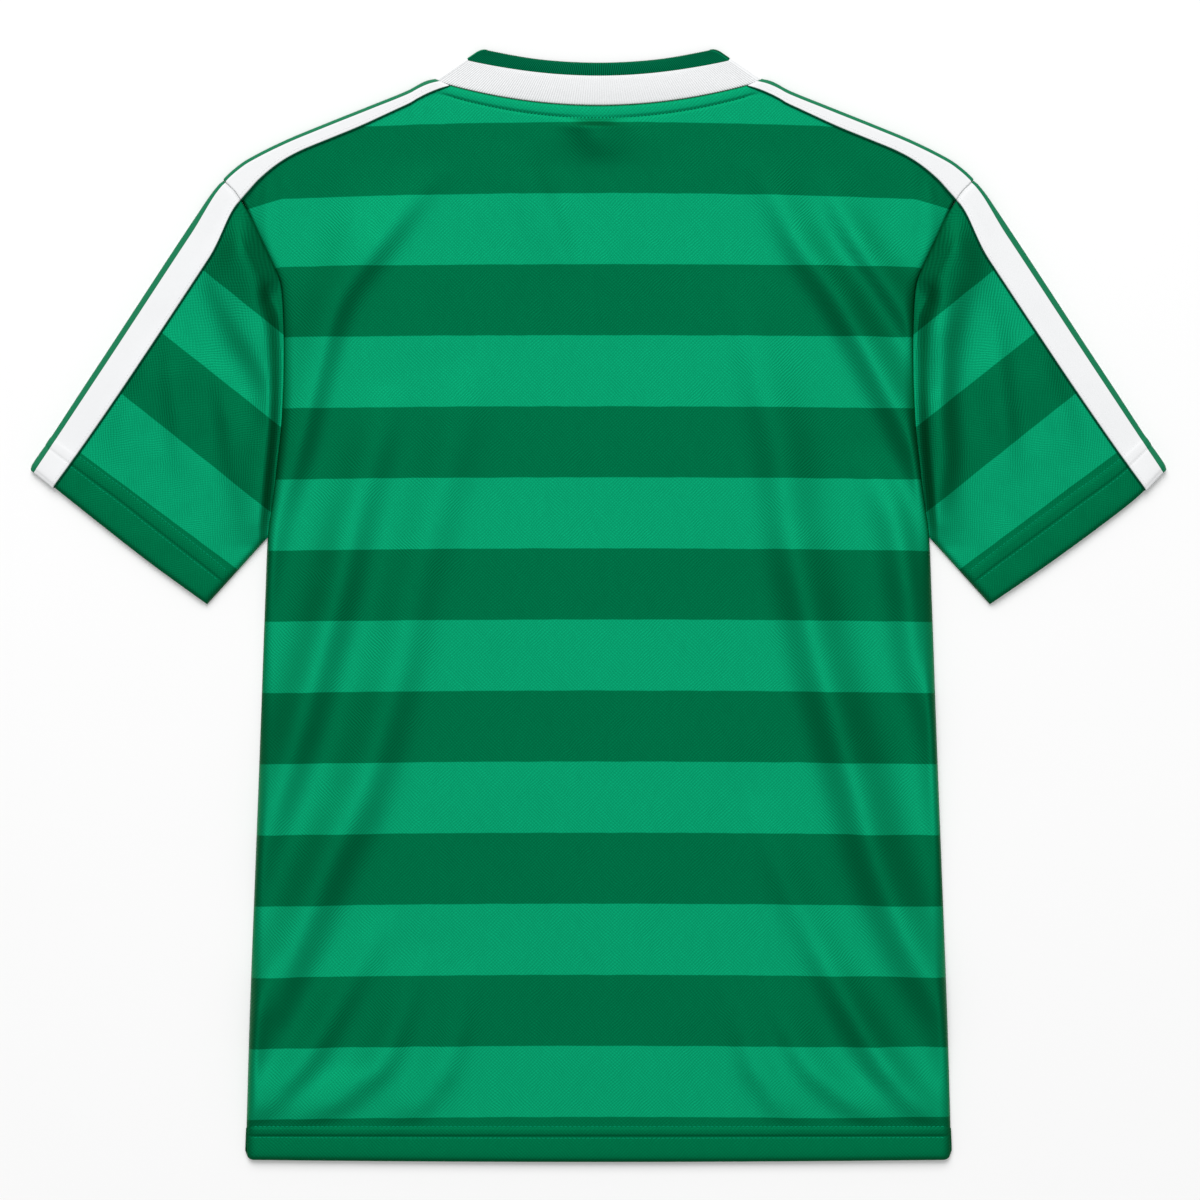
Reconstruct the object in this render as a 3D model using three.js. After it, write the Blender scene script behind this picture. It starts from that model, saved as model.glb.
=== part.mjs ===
/*
 * A short-sleeved football jersey laid flat on its front, so that the back shows.
 *
 * Units are millimetres. X runs across the body, Y from the hem to the collar, and Z up from the surface
 * that the jersey lies on. The tables measure "up" from the hem's lowest edge and "out" from the centre
 * line, and the whole garment is then moved so that its middle is over the origin.
 *
 * The pieces are the ones that are cut and sewn: a front and a back joined at the sides and shoulders,
 * two sleeves that are each one folded cloth with a seam under the arm, a knitted collar in two colours,
 * and a tape over each shoulder and down each sleeve. Every piece is a thin wall between two grids of points.
 */
import * as THREE from "three";

// Walls, and the clearance between sewn pieces
const CLOTH = 1.2;
const HEM_CLOTH = 2.0;
const RIB = 1.8;
const TAPE = 1.0;
const GAP = 0.3;

// The back's side line from the hem to the shoulder: the side seam, then the armhole
const SIDE_LINE = [
  { up: 0, out: 247.2 },
  { up: 100, out: 244.4 },
  { up: 200, out: 240.6 },
  { up: 300, out: 236.8 },
  { up: 400, out: 233.2 },
  { up: 438, out: 231.5 },
  { up: 467, out: 227.6 },
  { up: 494, out: 224.4 },
  { up: 518, out: 222.0 },
  { up: 549, out: 220.6 },
  { up: 580, out: 220.6 },
  { up: 612, out: 222.4 },
  { up: 621, out: 225.6 },
  { up: 647, out: 237.8 },
  { up: 667, out: 246.6 },
  { up: 678, out: 253.5 },
  { up: 687, out: 260.2 },
];
const SHOULDER_END_UP = SIDE_LINE.at(-1).up;
const UNDERARM_UP = 438;
const TUCK_TOP_UP = 612; // the back lies over the sleeve's end below this height
const HEM_DEPTH = 24;
const HEM_BOW = 1.5; // the hem's ends lie this much higher than its middle
const HEM_CORNER = 5.6;
const HEM_EASE = 3; // the doubled hem thins to a single cloth over this height
const UNDERARM_EASE = 14; // and the side changes over this height below and above the underarm
const TUCK_EASE = 8; // and turns into the sewn armhole over this one
const LIFT_FROM = 0.45; // the share of the body's height from which rows follow the shoulders

// The fold of the shoulder and of the sleeve, from the collar to the cuff
const TOP_LINE = [
  { out: 113.4, up: 758.4 },
  { out: 121.5, up: 756.2 },
  { out: 133, up: 749.8 },
  { out: 159, up: 739.2 },
  { out: 194, up: 725.2 },
  { out: 221, up: 713.9 },
  { out: 246, up: 701.2 },
  { out: 256, up: 693.9 },
  { out: 263, up: 687.2 },
  { out: 270.6, up: 678.4 },
  { out: 279.8, up: 665.0 },
  { out: 299.6, up: 635.2 },
  { out: 344.0, up: 567.4 },
  { out: 397.6, up: 486.4 },
];
const ARMHOLE_OUT = 263; // where the armhole seam meets that fold

// The neck
const NECK_HALF = 112.4;
const BACK_NECK_UP = 738.9; // the neck seam at the centre of the back
const BACK_NECK_RISE = 16.5; // and how much higher it ends at the shoulders
const FRONT_NECK_UP = 668;
const NECK_STRIP = 8.5; // the seam allowance that is turned down and topstitched
const NECK_STRIP_RISE = 0.6;
const NECK_STRIP_FADE = 6;
const COLLAR_TOP_HALF = 81;
const COLLAR_TOP_UP = 769.1;
const COLLAR_TOP_RISE = 8.2;
const COLLAR_FRONT_TOP_UP = 699;
const WHITE_SHARE = 0.69; // the share of the collar's width that is white
const RIB_COUNT = 128; // knitted ribs across the back of the collar
const RIB_RELIEF = 0.4;

// Heights above the surface
const FRONT_TOP = CLOTH;
const BACK_REST = 5.0; // the back's outer face where nothing folds it
const BACK_HEM = 4.5;
const SLEEVE_HEM = 4.4;
const SEAM_FOOT = 2.6; // the lower face of a cloth at the armhole seam
const NECK_FOOT = 2.9;
const TUCK_FOOT = FRONT_TOP + GAP + CLOTH + GAP;
const SIDE_ROLL = 7; // how far in an edge reaches its full height
const SEAM_ROLL = 10;
const SHOULDER_ROLL = 3.5;

// The right sleeve: its cuff, and its sewn end, which lies under the back below the tuck
const CUFF_INNER = { out: 273.6, up: 390.4 };
const CUFF_DEPTH = 22;
const SLEEVE_END = [
  { up: 443, out: 226.0 },
  { up: 467, out: 222.4 },
  { up: 494, out: 219.2 },
  { up: 518, out: 216.8 },
  { up: 549, out: 215.4 },
  { up: 580, out: 215.4 },
  { up: 600, out: 217.2 },
  { up: 612, out: 223.0 },
  { up: 621, out: 226.3 },
  { up: 647, out: 238.5 },
  { up: 667, out: 247.3 },
  { up: 678, out: 254.2 },
  { up: 684.2, out: 260.4 },
];
const TUCKED = 7.2; // the length of sleeve that stays low under the back's edge
const FRONT_CLEAR = 0.9; // from the front's armhole to the sleeve's end

// The tapes: how far in from the top line the inner edge lies, and the fold that they wrap
const FOLD_IN = 3.8; // from the top line to the middle of the fold
const TAPE_AT_NECK = 8.4;
const TAPE_ON_SHOULDER = 11.2;
const TAPE_AT_ARMHOLE = 15.6;
const TAPE_ON_SLEEVE = 21.6;
const TAPE_WIDTH = 29;
const TAPE_WRAP = 35; // how far below the sleeve's fold the tape goes, in degrees
const BACK_EDGE_IN = 1.7; // from the top line to the back's edge inside the tape
const FRONT_EDGE_IN = 3.1;
const LEG_CLEAR = 3;
const NECK_CLEAR = 1.2;

// The largest folds, each a soft trough or ridge from one end to the other
const BACK_FOLDS = [
  { x1: -104, y1: 716, x2: -180, y2: 596, bow: 4, wide: 10, rise: -1.2 },
  { x1: -180, y1: 690, x2: -214, y2: 560, bow: 0, wide: 12, rise: -0.8 },
  { x1: -140, y1: 580, x2: -222, y2: 232, bow: -9, wide: 15, rise: -1.7 },
  { x1: -128, y1: 500, x2: -206, y2: 190, bow: -10, wide: 14, rise: 0.9 },
  { x1: -104, y1: 450, x2: -216, y2: 120, bow: -12, wide: 15, rise: -1.5 },
  { x1: -176, y1: 190, x2: -240, y2: 56, bow: -5, wide: 12, rise: -1.2 },
  { x1: -112, y1: 170, x2: -206, y2: 34, bow: -6, wide: 12, rise: -1.1 },
  { x1: -78, y1: 140, x2: -160, y2: 30, bow: -5, wide: 12, rise: -0.8 },
  { x1: 106, y1: 716, x2: 204, y2: 572, bow: 4, wide: 10, rise: -1.2 },
  { x1: 150, y1: 690, x2: 216, y2: 566, bow: -3, wide: 12, rise: -0.9 },
  { x1: 112, y1: 600, x2: 212, y2: 118, bow: 12, wide: 15, rise: -1.7 },
  { x1: 150, y1: 470, x2: 222, y2: 150, bow: 8, wide: 13, rise: 0.9 },
  { x1: 180, y1: 560, x2: 226, y2: 250, bow: 4, wide: 14, rise: -1.4 },
  { x1: 128, y1: 200, x2: 214, y2: 30, bow: 7, wide: 12, rise: -1.2 },
  { x1: 206, y1: 220, x2: 244, y2: 50, bow: 4, wide: 11, rise: -1.2 },
  { x1: 88, y1: 130, x2: 168, y2: 30, bow: 5, wide: 12, rise: -0.8 },
  { x1: -34, y1: 716, x2: 40, y2: 706, bow: 0, wide: 16, rise: -0.8 },
  { x1: -26, y1: 690, x2: -10, y2: 600, bow: 0, wide: 14, rise: -0.5 },
];
const SLEEVE_FOLDS = [
  { x1: 262, y1: 676, x2: 226, y2: 560, bow: 6, wide: 9, rise: -1.5 },
  { x1: 254, y1: 664, x2: 236, y2: 600, bow: 2, wide: 6, rise: 0.6 },
  { x1: 284, y1: 632, x2: 276, y2: 500, bow: -4, wide: 12, rise: -0.9 },
  { x1: 318, y1: 590, x2: 306, y2: 470, bow: -3, wide: 12, rise: -0.7 },
  { x1: 236, y1: 560, x2: 262, y2: 440, bow: 3, wide: 10, rise: -0.8 },
];

// Colours
const GREEN = 0x128a5c;
const DARK_GREEN = 0x0a6f47;
const WHITE = 0xf1f2f3;

const smooth = (value, from, to) => THREE.MathUtils.smoothstep(value, from, to);
const mix = THREE.MathUtils.lerp;
const radians = THREE.MathUtils.degToRad;
const evenly = (count, from, to) => Array.from({ length: count + 1 }, (_, i) => mix(from, to, i / count));

/** From 0 at an edge to 1 at the roll's full width, along a quarter round. */
const quarterRound = (distance, roll) => Math.sqrt(1 - (1 - THREE.MathUtils.clamp(distance / roll, 0, 1)) ** 2);

/** The table row below a value, the row above it, and the share of the way between them. */
function between(table, from, value) {
  let i = 0;
  while (i < table.length - 2 && value > table[i + 1][from]) i += 1;
  const share = (value - table[i][from]) / (table[i + 1][from] - table[i][from]);
  return { i, share: THREE.MathUtils.clamp(share, 0, 1) };
}

/** A table's columns as a function, in straight steps. */
const stepsThrough = (table, from, to) => (value) => {
  const { i, share } = between(table, from, value);
  return mix(table[i][to], table[i + 1][to], share);
};

/** A table's columns as a function, in a smooth curve. */
function curveThrough(table, from, to) {
  const slopes = table.map((_, i) => {
    const before = table[Math.max(i - 1, 0)];
    const after = table[Math.min(i + 1, table.length - 1)];
    return (after[to] - before[to]) / (after[from] - before[from]);
  });
  return (value) => {
    const { i, share: t } = between(table, from, value);
    const span = table[i + 1][from] - table[i][from];
    const rise = table[i + 1][to] - table[i][to];
    const start = span * slopes[i];
    const end = span * slopes[i + 1];
    return table[i][to] + start * t + (3 * rise - 2 * start - end) * t ** 2 + (start + end - 2 * rise) * t ** 3;
  };
}

/** How much the folds raise or lower the cloth at a point. */
function relief(folds, x, y) {
  let rise = 0;
  for (const fold of folds) {
    const length = Math.hypot(fold.x2 - fold.x1, fold.y2 - fold.y1);
    const ax = (fold.x2 - fold.x1) / length;
    const ay = (fold.y2 - fold.y1) / length;
    const t = ((x - fold.x1) * ax + (y - fold.y1) * ay) / length;
    if (t <= 0 || t >= 1) continue;
    const taper = 4 * t * (1 - t);
    const across = (x - fold.x1) * ay - (y - fold.y1) * ax - fold.bow * taper;
    rise += fold.rise * Math.sqrt(taper) * Math.exp(-((across / fold.wide) ** 2));
  }
  return rise;
}

/**
 * A closed wall between two grids of points. The inner grid may be plainer: kept lists the outer columns
 * that it also has. A looped wall has its last column next to its first.
 */
function wall(name, colour, outer, inner, { looped = false, kept = outer[0].map((_, c) => c) } = {}) {
  const rows = outer.length;
  const lastRow = rows - 1;
  const columns = outer[0].length;
  const out = (r, c) => r * columns + (c % columns);
  const within = (r, k) => rows * columns + r * kept.length + (k % kept.length);
  const index = [];
  const triangle = (...corners) => index.push(...corners);
  const quad = (a, b, c, d) => index.push(a, b, c, a, c, d);
  const outerSteps = looped ? columns : columns - 1;
  const innerSteps = looped ? kept.length : kept.length - 1;
  for (let r = 0; r < lastRow; r += 1) {
    for (let c = 0; c < outerSteps; c += 1) quad(out(r, c), out(r, c + 1), out(r + 1, c + 1), out(r + 1, c));
    for (let k = 0; k < innerSteps; k += 1) {
      quad(within(r, k), within(r + 1, k), within(r + 1, k + 1), within(r, k + 1));
    }
  }
  for (let k = 0; k < innerSteps; k += 1) {
    const from = kept[k];
    const to = k + 1 < kept.length ? kept[k + 1] : columns;
    const middle = from + Math.floor((to - from) / 2);
    for (let c = from; c < to; c += 1) {
      const near = c < middle ? k : k + 1;
      triangle(out(0, c + 1), out(0, c), within(0, near));
      triangle(out(lastRow, c), out(lastRow, c + 1), within(lastRow, near));
    }
    triangle(out(0, middle), within(0, k), within(0, k + 1));
    triangle(out(lastRow, middle), within(lastRow, k + 1), within(lastRow, k));
  }
  if (!looped) {
    for (let r = 0; r < lastRow; r += 1) {
      quad(out(r, 0), out(r + 1, 0), within(r + 1, 0), within(r, 0));
      quad(out(r + 1, outerSteps), out(r, outerSteps), within(r, innerSteps), within(r + 1, innerSteps));
    }
  }
  const points = [...outer.flat(), ...inner.flat()];
  const geometry = new THREE.BufferGeometry().setFromPoints(points).setIndex(index);
  geometry.computeVertexNormals();
  const finish = new THREE.MeshStandardMaterial({ color: colour, roughness: 0.6, metalness: 0 });
  const mesh = new THREE.Mesh(geometry, finish);
  mesh.name = name;
  return mesh;
}

/** A wall of the right side, or the same on the left with its columns turned round so that faces stay outward. */
function sidedWall(name, colour, outer, inner, isLeft) {
  const turned = (grid) => grid.map((row) => row.map((p) => new THREE.Vector3(-p.x, p.y, p.z)).reverse());
  return isLeft ? wall(name, colour, turned(outer), turned(inner)) : wall(name, colour, outer, inner);
}

// The body's outline as functions
const sideOut = curveThrough(SIDE_LINE, "up", "out");
const sleeveEndOut = curveThrough(SLEEVE_END, "up", "out");
const topLineUp = curveThrough(TOP_LINE, "out", "up");
const backNeckUp = (x) => BACK_NECK_UP + BACK_NECK_RISE * (x / NECK_HALF) ** 2;
const NECK_CORNER_UP = backNeckUp(NECK_HALF);
const frontNeckUp = (x) =>
  NECK_CORNER_UP - (NECK_CORNER_UP - FRONT_NECK_UP) * Math.sqrt(Math.max(0, 1 - (x / NECK_HALF) ** 2));
/** The top edge of a panel: its neckline, and then its shoulder, which stops short of the top line. */
const topEdge = (neckUp, edgeIn) => (x) => {
  const out = Math.abs(x);
  return out < NECK_HALF ? neckUp(x) : Math.min(NECK_CORNER_UP, topLineUp(out + edgeIn / 2) - edgeIn);
};
const backTop = topEdge(backNeckUp, BACK_EDGE_IN);
const frontTop = topEdge(frontNeckUp, FRONT_EDGE_IN);
/** The front stops short of the sleeve's sewn end above the underarm. */
const frontOut = (up) =>
  mix(sideOut(up), sleeveEndOut(up) - FRONT_CLEAR, smooth(up, UNDERARM_UP - 6, UNDERARM_UP + 5));

/** A point of the flat body: u runs from side to side, -1 to 1, and v from the hem, 0, to the top edge, 1. */
function bodyPoint(u, v, half, top) {
  const up = v * SHOULDER_END_UP;
  const x = u * half(up);
  const lift = (top(u * half(SHOULDER_END_UP)) - SHOULDER_END_UP) * smooth(v, LIFT_FROM, 1);
  const fromSide = (1 - Math.abs(u)) * half(up);
  const corner = HEM_CORNER * (1 - quarterRound(fromSide, HEM_CORNER));
  const hem = (HEM_BOW * u * u + corner) * (1 - smooth(up, 0, HEM_DEPTH));
  return { x, y: up + lift + hem, fromSide, fromHem: up, fromTop: (1 - v) * SHOULDER_END_UP };
}

const upShare = (up) => up / SHOULDER_END_UP;
const fromTopShare = (down) => 1 - down / SHOULDER_END_UP;

/** The columns of a panel: closer at the ends of the neck, even over the shoulders, and close at the edges. */
function bodyColumns(half, neckCount, shoulderCount, edges) {
  const neckShare = NECK_HALF / half(SHOULDER_END_UP);
  const neck = evenly(neckCount, 0, Math.PI / 2).map((angle) => neckShare * Math.sin(angle));
  const edgeShares = edges.map((distance) => 1 - distance / half(0));
  const shoulder = evenly(shoulderCount, neckShare, edgeShares[0]).slice(1, -1);
  const right = [...neck, ...shoulder, ...edgeShares];
  return [...right.slice(1).map((u) => -u).reverse(), ...right];
}
const isNeckColumn = (u, half) => Math.abs(u) * half(SHOULDER_END_UP) < NECK_HALF + 0.001;

const backRest = (x, y) => BACK_REST + relief(BACK_FOLDS, x, y);

/** The back: it rolls down at its sides, lies over the sleeves' ends, and meets them at the armholes. */
function backPanel() {
  const footAtSide = stepsThrough(
    [
      { up: 0, foot: HEM_CLOTH + GAP },
      { up: HEM_DEPTH, foot: HEM_CLOTH + GAP },
      { up: HEM_DEPTH + 4, foot: FRONT_TOP + GAP },
      { up: UNDERARM_UP - UNDERARM_EASE, foot: FRONT_TOP + GAP },
      { up: UNDERARM_UP, foot: TUCK_FOOT },
      { up: TUCK_TOP_UP, foot: TUCK_FOOT },
      { up: TUCK_TOP_UP + 10, foot: SEAM_FOOT },
      { up: SHOULDER_END_UP, foot: SEAM_FOOT + GAP },
    ],
    "up",
    "foot",
  );
  const columns = bodyColumns(sideOut, 7, 9, [SIDE_ROLL, 3, CLOTH, 0]);
  const rows = [
    0, upShare(8), upShare(HEM_DEPTH), upShare(HEM_DEPTH + HEM_EASE),
    ...evenly(10, upShare(50), upShare(UNDERARM_UP - UNDERARM_EASE)),
    ...[UNDERARM_UP, UNDERARM_UP + UNDERARM_EASE].map(upShare),
    ...evenly(4, upShare(UNDERARM_UP + 46), upShare(TUCK_TOP_UP - 26)),
    ...[TUCK_TOP_UP - TUCK_EASE, TUCK_TOP_UP, TUCK_TOP_UP + 9].map(upShare),
    ...evenly(2, upShare(TUCK_TOP_UP + 24), fromTopShare(26)),
    fromTopShare(NECK_STRIP + 1.5), fromTopShare(NECK_STRIP), fromTopShare(SHOULDER_ROLL), fromTopShare(CLOTH), 1,
  ];
  const point = (u, v, isInner) => {
    const p = bodyPoint(u, v, sideOut, backTop);
    const isNeck = isNeckColumn(u, sideOut);
    const nearSide = p.fromTop / (p.fromTop + p.fromSide + 1e-6);
    const foot = mix(isNeck ? NECK_FOOT : SEAM_FOOT + GAP, footAtSide(p.fromHem), nearSide);
    const isRolled = nearSide * (1 - smooth(p.fromHem, TUCK_TOP_UP, TUCK_TOP_UP + TUCK_EASE));
    const isHem = 1 - smooth(p.fromHem, HEM_DEPTH, HEM_DEPTH + HEM_EASE);
    const isStrip = isNeck ? 1 - smooth(p.fromTop, NECK_STRIP, NECK_STRIP + 1.5) : 0;
    const stripFade = 1 - smooth(Math.abs(p.x), NECK_HALF - NECK_STRIP_FADE, NECK_HALF);
    const strip = NECK_STRIP_RISE * isStrip * stripFade;
    const cloth = mix(CLOTH, HEM_CLOTH, isHem);
    const folds = relief(BACK_FOLDS, p.x, p.y) * smooth(p.fromHem, HEM_DEPTH, HEM_DEPTH + 40);
    const rest = mix(BACK_HEM, BACK_REST, smooth(p.fromHem, HEM_DEPTH + 2, HEM_DEPTH + 50)) + folds;
    const inset = isInner ? isRolled * CLOTH : 0;
    const sideLift = quarterRound(p.fromSide - inset, mix(SEAM_ROLL, SIDE_ROLL, isRolled));
    const topLift = quarterRound(p.fromTop, isNeck ? SEAM_ROLL : SHOULDER_ROLL);
    const rim = cloth * mix(1, 0.2, isRolled); // a rolled edge is thin, and a sewn one is the whole cloth
    const top = foot + rim + (rest - foot - rim) * sideLift * topLift;
    const under = foot + (rest - cloth - foot) * sideLift * topLift;
    const rimShift = isInner && p.fromSide < CLOTH ? (CLOTH - p.fromSide) * isRolled : 0;
    return new THREE.Vector3(p.x - Math.sign(u) * rimShift, p.y, isInner ? under : top + strip);
  };
  const grid = (isInner) => rows.map((v) => columns.map((u) => point(u, v, isInner)));
  return wall("back_panel", GREEN, grid(false), grid(true));
}

/** The front: flat on the surface, raised over the tape's under leg along the shoulders. */
function frontPanel() {
  const legEnd = TAPE_WIDTH - TAPE_ON_SHOULDER + 2;
  const columns = bodyColumns(frontOut, 8, 3, [HEM_CORNER, 2, 0]);
  const rows = [
    0, upShare(HEM_DEPTH), upShare(HEM_DEPTH + HEM_EASE), ...evenly(3, upShare(100), upShare(400)),
    ...evenly(3, upShare(UNDERARM_UP - 6), upShare(UNDERARM_UP + 8)),
    ...evenly(5, upShare(470), upShare(TUCK_TOP_UP - 12)),
    ...evenly(2, upShare(TUCK_TOP_UP), upShare(TUCK_TOP_UP + 20)),
    fromTopShare(legEnd + LEG_CLEAR + 4), fromTopShare(legEnd + 1), 1,
  ];
  const point = (u, v, isUnder) => {
    const p = bodyPoint(u, v, frontOut, frontTop);
    const isShoulder = Math.abs(u) * frontOut(SHOULDER_END_UP) > NECK_HALF - 0.001;
    const overLeg = 1 - smooth(p.fromTop, legEnd + 1.001, legEnd + LEG_CLEAR + 4);
    const floor = isShoulder ? (TAPE + GAP) * overLeg : 0;
    const thick = mix(CLOTH, HEM_CLOTH, 1 - smooth(p.fromHem, HEM_DEPTH, HEM_DEPTH + HEM_EASE));
    return new THREE.Vector3(p.x, p.y, isUnder ? floor : floor + thick);
  };
  const grid = (isUnder) => rows.map((v) => columns.map((u) => point(u, v, isUnder)));
  return wall("front_panel", GREEN, grid(false), grid(true));
}

// The top line as a curve: a point is named by its distance from the armhole seam, toward the cuff
const topLine = new THREE.CatmullRomCurve3(
  TOP_LINE.map((row) => new THREE.Vector3(row.out, row.up, 0)), false, "centripetal");
const TOP_LENGTH = topLine.getLength();
const SHOULDER_LENGTH = new THREE.CatmullRomCurve3(
  TOP_LINE.filter((row) => row.out <= ARMHOLE_OUT).map((row) => new THREE.Vector3(row.out, row.up, 0)),
  false, "centripetal").getLength();
const SLEEVE_LENGTH = TOP_LENGTH - SHOULDER_LENGTH;

/** A point of the fold, some way in from the top line, with the directions out of the cloth and along it. */
function foldPoint(distance, inwards) {
  const share = THREE.MathUtils.clamp((SHOULDER_LENGTH + distance) / TOP_LENGTH, 0, 1);
  const along = topLine.getTangentAt(share);
  const outward = new THREE.Vector3(-along.y, along.x, 0);
  return { point: topLine.getPointAt(share).addScaledVector(outward, -inwards), outward, along };
}

const sleeveFold = (v) => foldPoint(v * SLEEVE_LENGTH, FOLD_IN);
const sleeveEnd = (u) => {
  const up = mix(SLEEVE_END[0].up, SLEEVE_END.at(-1).up, u);
  return new THREE.Vector3(sleeveEndOut(up), up, 0);
};

/** A point of the flat sleeve: u runs from the underarm, 0, to the fold, 1, and v from the sewn end to the cuff. */
function sleevePoint(u, v) {
  const cuffInner = new THREE.Vector3(CUFF_INNER.out, CUFF_INNER.up, 0);
  const cuff = cuffInner.clone().lerp(sleeveFold(1).point, u);
  const underarm = sleeveEnd(0).lerp(cuffInner, v);
  const endChord = sleeveEnd(0).lerp(sleeveEnd(1), u);
  const corners = endChord.lerp(cuff, v);
  return sleeveEnd(u).lerp(cuff, v)
    .addScaledVector(underarm, 1 - u)
    .addScaledVector(sleeveFold(v).point, u)
    .sub(corners);
}

const sleeveWidth = (v) => sleevePoint(0, v).distanceTo(sleevePoint(1, v));
const isCuff = (v) => 1 - smooth((1 - v) * SLEEVE_LENGTH, CUFF_DEPTH, CUFF_DEPTH + HEM_EASE);
const underLength = sleevePoint(0, 0).distanceTo(sleevePoint(0, 1));

/** The height of the sleeve's upper layer, outer face, and the thickness of the cloth there. */
function sleeveUpper(u, v) {
  const p = sleevePoint(u, v);
  const endUp = sleeveEnd(u).y;
  const fromEnd = v * mix(underLength, SLEEVE_LENGTH, u);
  const fromCuff = (1 - v) * SLEEVE_LENGTH;
  const isSewn = smooth(endUp, TUCK_TOP_UP - 2, TUCK_TOP_UP + 12);
  const foot = mix(FRONT_TOP + GAP, SEAM_FOOT, isSewn);
  const thick = mix(CLOTH, HEM_CLOTH, isCuff(v));
  const folds = relief(SLEEVE_FOLDS, p.x, p.y) * (1 - smooth(u, 0.8, 0.95)) * smooth(fromCuff, CUFF_DEPTH, 60);
  const rest = mix(SLEEVE_HEM, BACK_REST, smooth(fromCuff, CUFF_DEPTH + 2, CUFF_DEPTH + 50)) + folds;
  const lift = smooth(fromEnd - TUCKED * (1 - isSewn), 0, 1.6 * SEAM_ROLL);
  return { p, thick, top: mix(foot + thick, rest, lift) };
}

/** Points round the sleeve's outer fold at some way off its outer face, from above it down to an angle. */
function roundFold(v, face, steps, toDegrees) {
  const { point, outward } = sleeveFold(v);
  const middle = sleeveUpper(1, v).top / 2;
  return evenly(steps, 90, toDegrees).slice(1).map((degrees) => point.clone()
    .addScaledVector(outward, (middle + face) * Math.cos(radians(degrees)))
    .setZ(middle + (middle + face) * Math.sin(radians(degrees))));
}

/** The sleeve's section at v, from the underarm seam under the arm, round the fold, and back over it. */
function sleeveSection(v, isInner) {
  const width = sleeveWidth(v);
  const underFoot = mix(FRONT_TOP, HEM_CLOTH, isCuff(v)) + GAP;
  const edges = [0, CLOTH, 3, SIDE_ROLL].map((distance) => distance / width);
  const upper = [...edges, ...evenly(8, 22 / width, 1)].map((u) => {
    const { p, thick, top } = sleeveUpper(u, v);
    const fromEdge = u * width;
    if (isInner && fromEdge < CLOTH) p.lerp(sleevePoint(1, v), (CLOTH - fromEdge) / width);
    const lift = quarterRound(fromEdge - (isInner ? CLOTH : 0), SIDE_ROLL);
    const rim = isInner ? 0 : 0.2 * CLOTH;
    return p.setZ(mix(underFoot + rim, isInner ? top - thick : top, lift));
  });
  const { thick } = sleeveUpper(1, v);
  const round = roundFold(v, isInner ? -thick : 0, 6, -90);
  const lower = evenly(4, 1, 0).slice(1).map((u) => sleevePoint(u, v).setZ(isInner ? thick : 0));
  return [...upper, ...round, ...lower].reverse();
}

const SLEEVE_ROWS = [
  ...[0, 6, 12, 20, 30].map((distance) => distance / SLEEVE_LENGTH),
  ...evenly(5, 48 / SLEEVE_LENGTH, 1 - 50 / SLEEVE_LENGTH),
  ...[CUFF_DEPTH + HEM_EASE, CUFF_DEPTH, 0].map((distance) => 1 - distance / SLEEVE_LENGTH),
];

/** One folded cloth, whose two edges meet at the underarm seam. */
function sleeve(name, isLeft) {
  const grid = (isInner) => SLEEVE_ROWS.map((v) => sleeveSection(v, isInner));
  return sidedWall(name, GREEN, grid(false), grid(true), isLeft);
}

/** The tape down the sleeve: the sleeve's outer points moved out, from its inner edge round the fold. */
function sleeveTape(name, isLeft) {
  const section = (v, off) => {
    const visible = mix(TAPE_AT_ARMHOLE, TAPE_ON_SLEEVE, smooth(v * SLEEVE_LENGTH, 0, 45));
    const flat = evenly(3, 1 - (visible - FOLD_IN) / sleeveWidth(v), 1).map((u) => {
      const { p, top } = sleeveUpper(u, v);
      return p.setZ(top + off);
    });
    return [...flat, ...roundFold(v, off, 5, -TAPE_WRAP)].reverse();
  };
  const rows = SLEEVE_ROWS.map((v) => mix(GAP / SLEEVE_LENGTH, 1, v));
  const grid = (off) => rows.map((v) => section(v, off));
  return sidedWall(name, WHITE, grid(GAP + TAPE), grid(GAP), isLeft);
}

/** The tape over the shoulder: on the back, round the fold, and under the front. */
function shoulderTape(name, isLeft) {
  const middle = (BACK_REST + GAP + TAPE) / 2;
  const armholeCut = 0.1; // how much its end slants with the armhole
  const section = (share, off) => {
    const visible = mix(
      mix(TAPE_AT_NECK, TAPE_ON_SHOULDER, smooth(share, 0, 0.2)), TAPE_AT_ARMHOLE, smooth(share, 0.6, 1));
    const leg = TAPE_WIDTH - mix(TAPE_ON_SHOULDER, TAPE_AT_ARMHOLE, smooth(share, 0.6, 1)) - FOLD_IN;
    const distance = mix(NECK_CLEAR - SHOULDER_LENGTH, -2 * GAP, share);
    const at = (inwards, z) => {
      const { point, outward, along } = foldPoint(distance, FOLD_IN + inwards);
      const neckShift = (outward.x / along.x) * (1 - smooth(share, 0, 0.4)); // that end runs straight up the body
      const armholeShift = armholeCut * smooth(share, 0.6, 1);
      return point.addScaledVector(along, (FOLD_IN + inwards) * (neckShift + armholeShift)).setZ(z);
    };
    const flat = evenly(2, visible - FOLD_IN, 0).map((inwards) => {
      const p = at(inwards, 0);
      return p.setZ(backRest(p.x, p.y) + off);
    });
    const across = FOLD_IN - TAPE - GAP + off;
    const rise = middle - TAPE - GAP + off;
    const round = evenly(6, 90, -90).slice(1).map((degrees) =>
      at(-across * Math.cos(radians(degrees)), middle + rise * Math.sin(radians(degrees))));
    const under = evenly(1, 0, leg).slice(1).map((inwards) => at(inwards, middle - rise));
    return [...flat, ...round, ...under].reverse();
  };
  const grid = (off) => evenly(11, 0, 1).map((share) => section(share, off));
  return sidedWall(name, WHITE, grid(GAP + TAPE), grid(GAP), isLeft);
}

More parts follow.
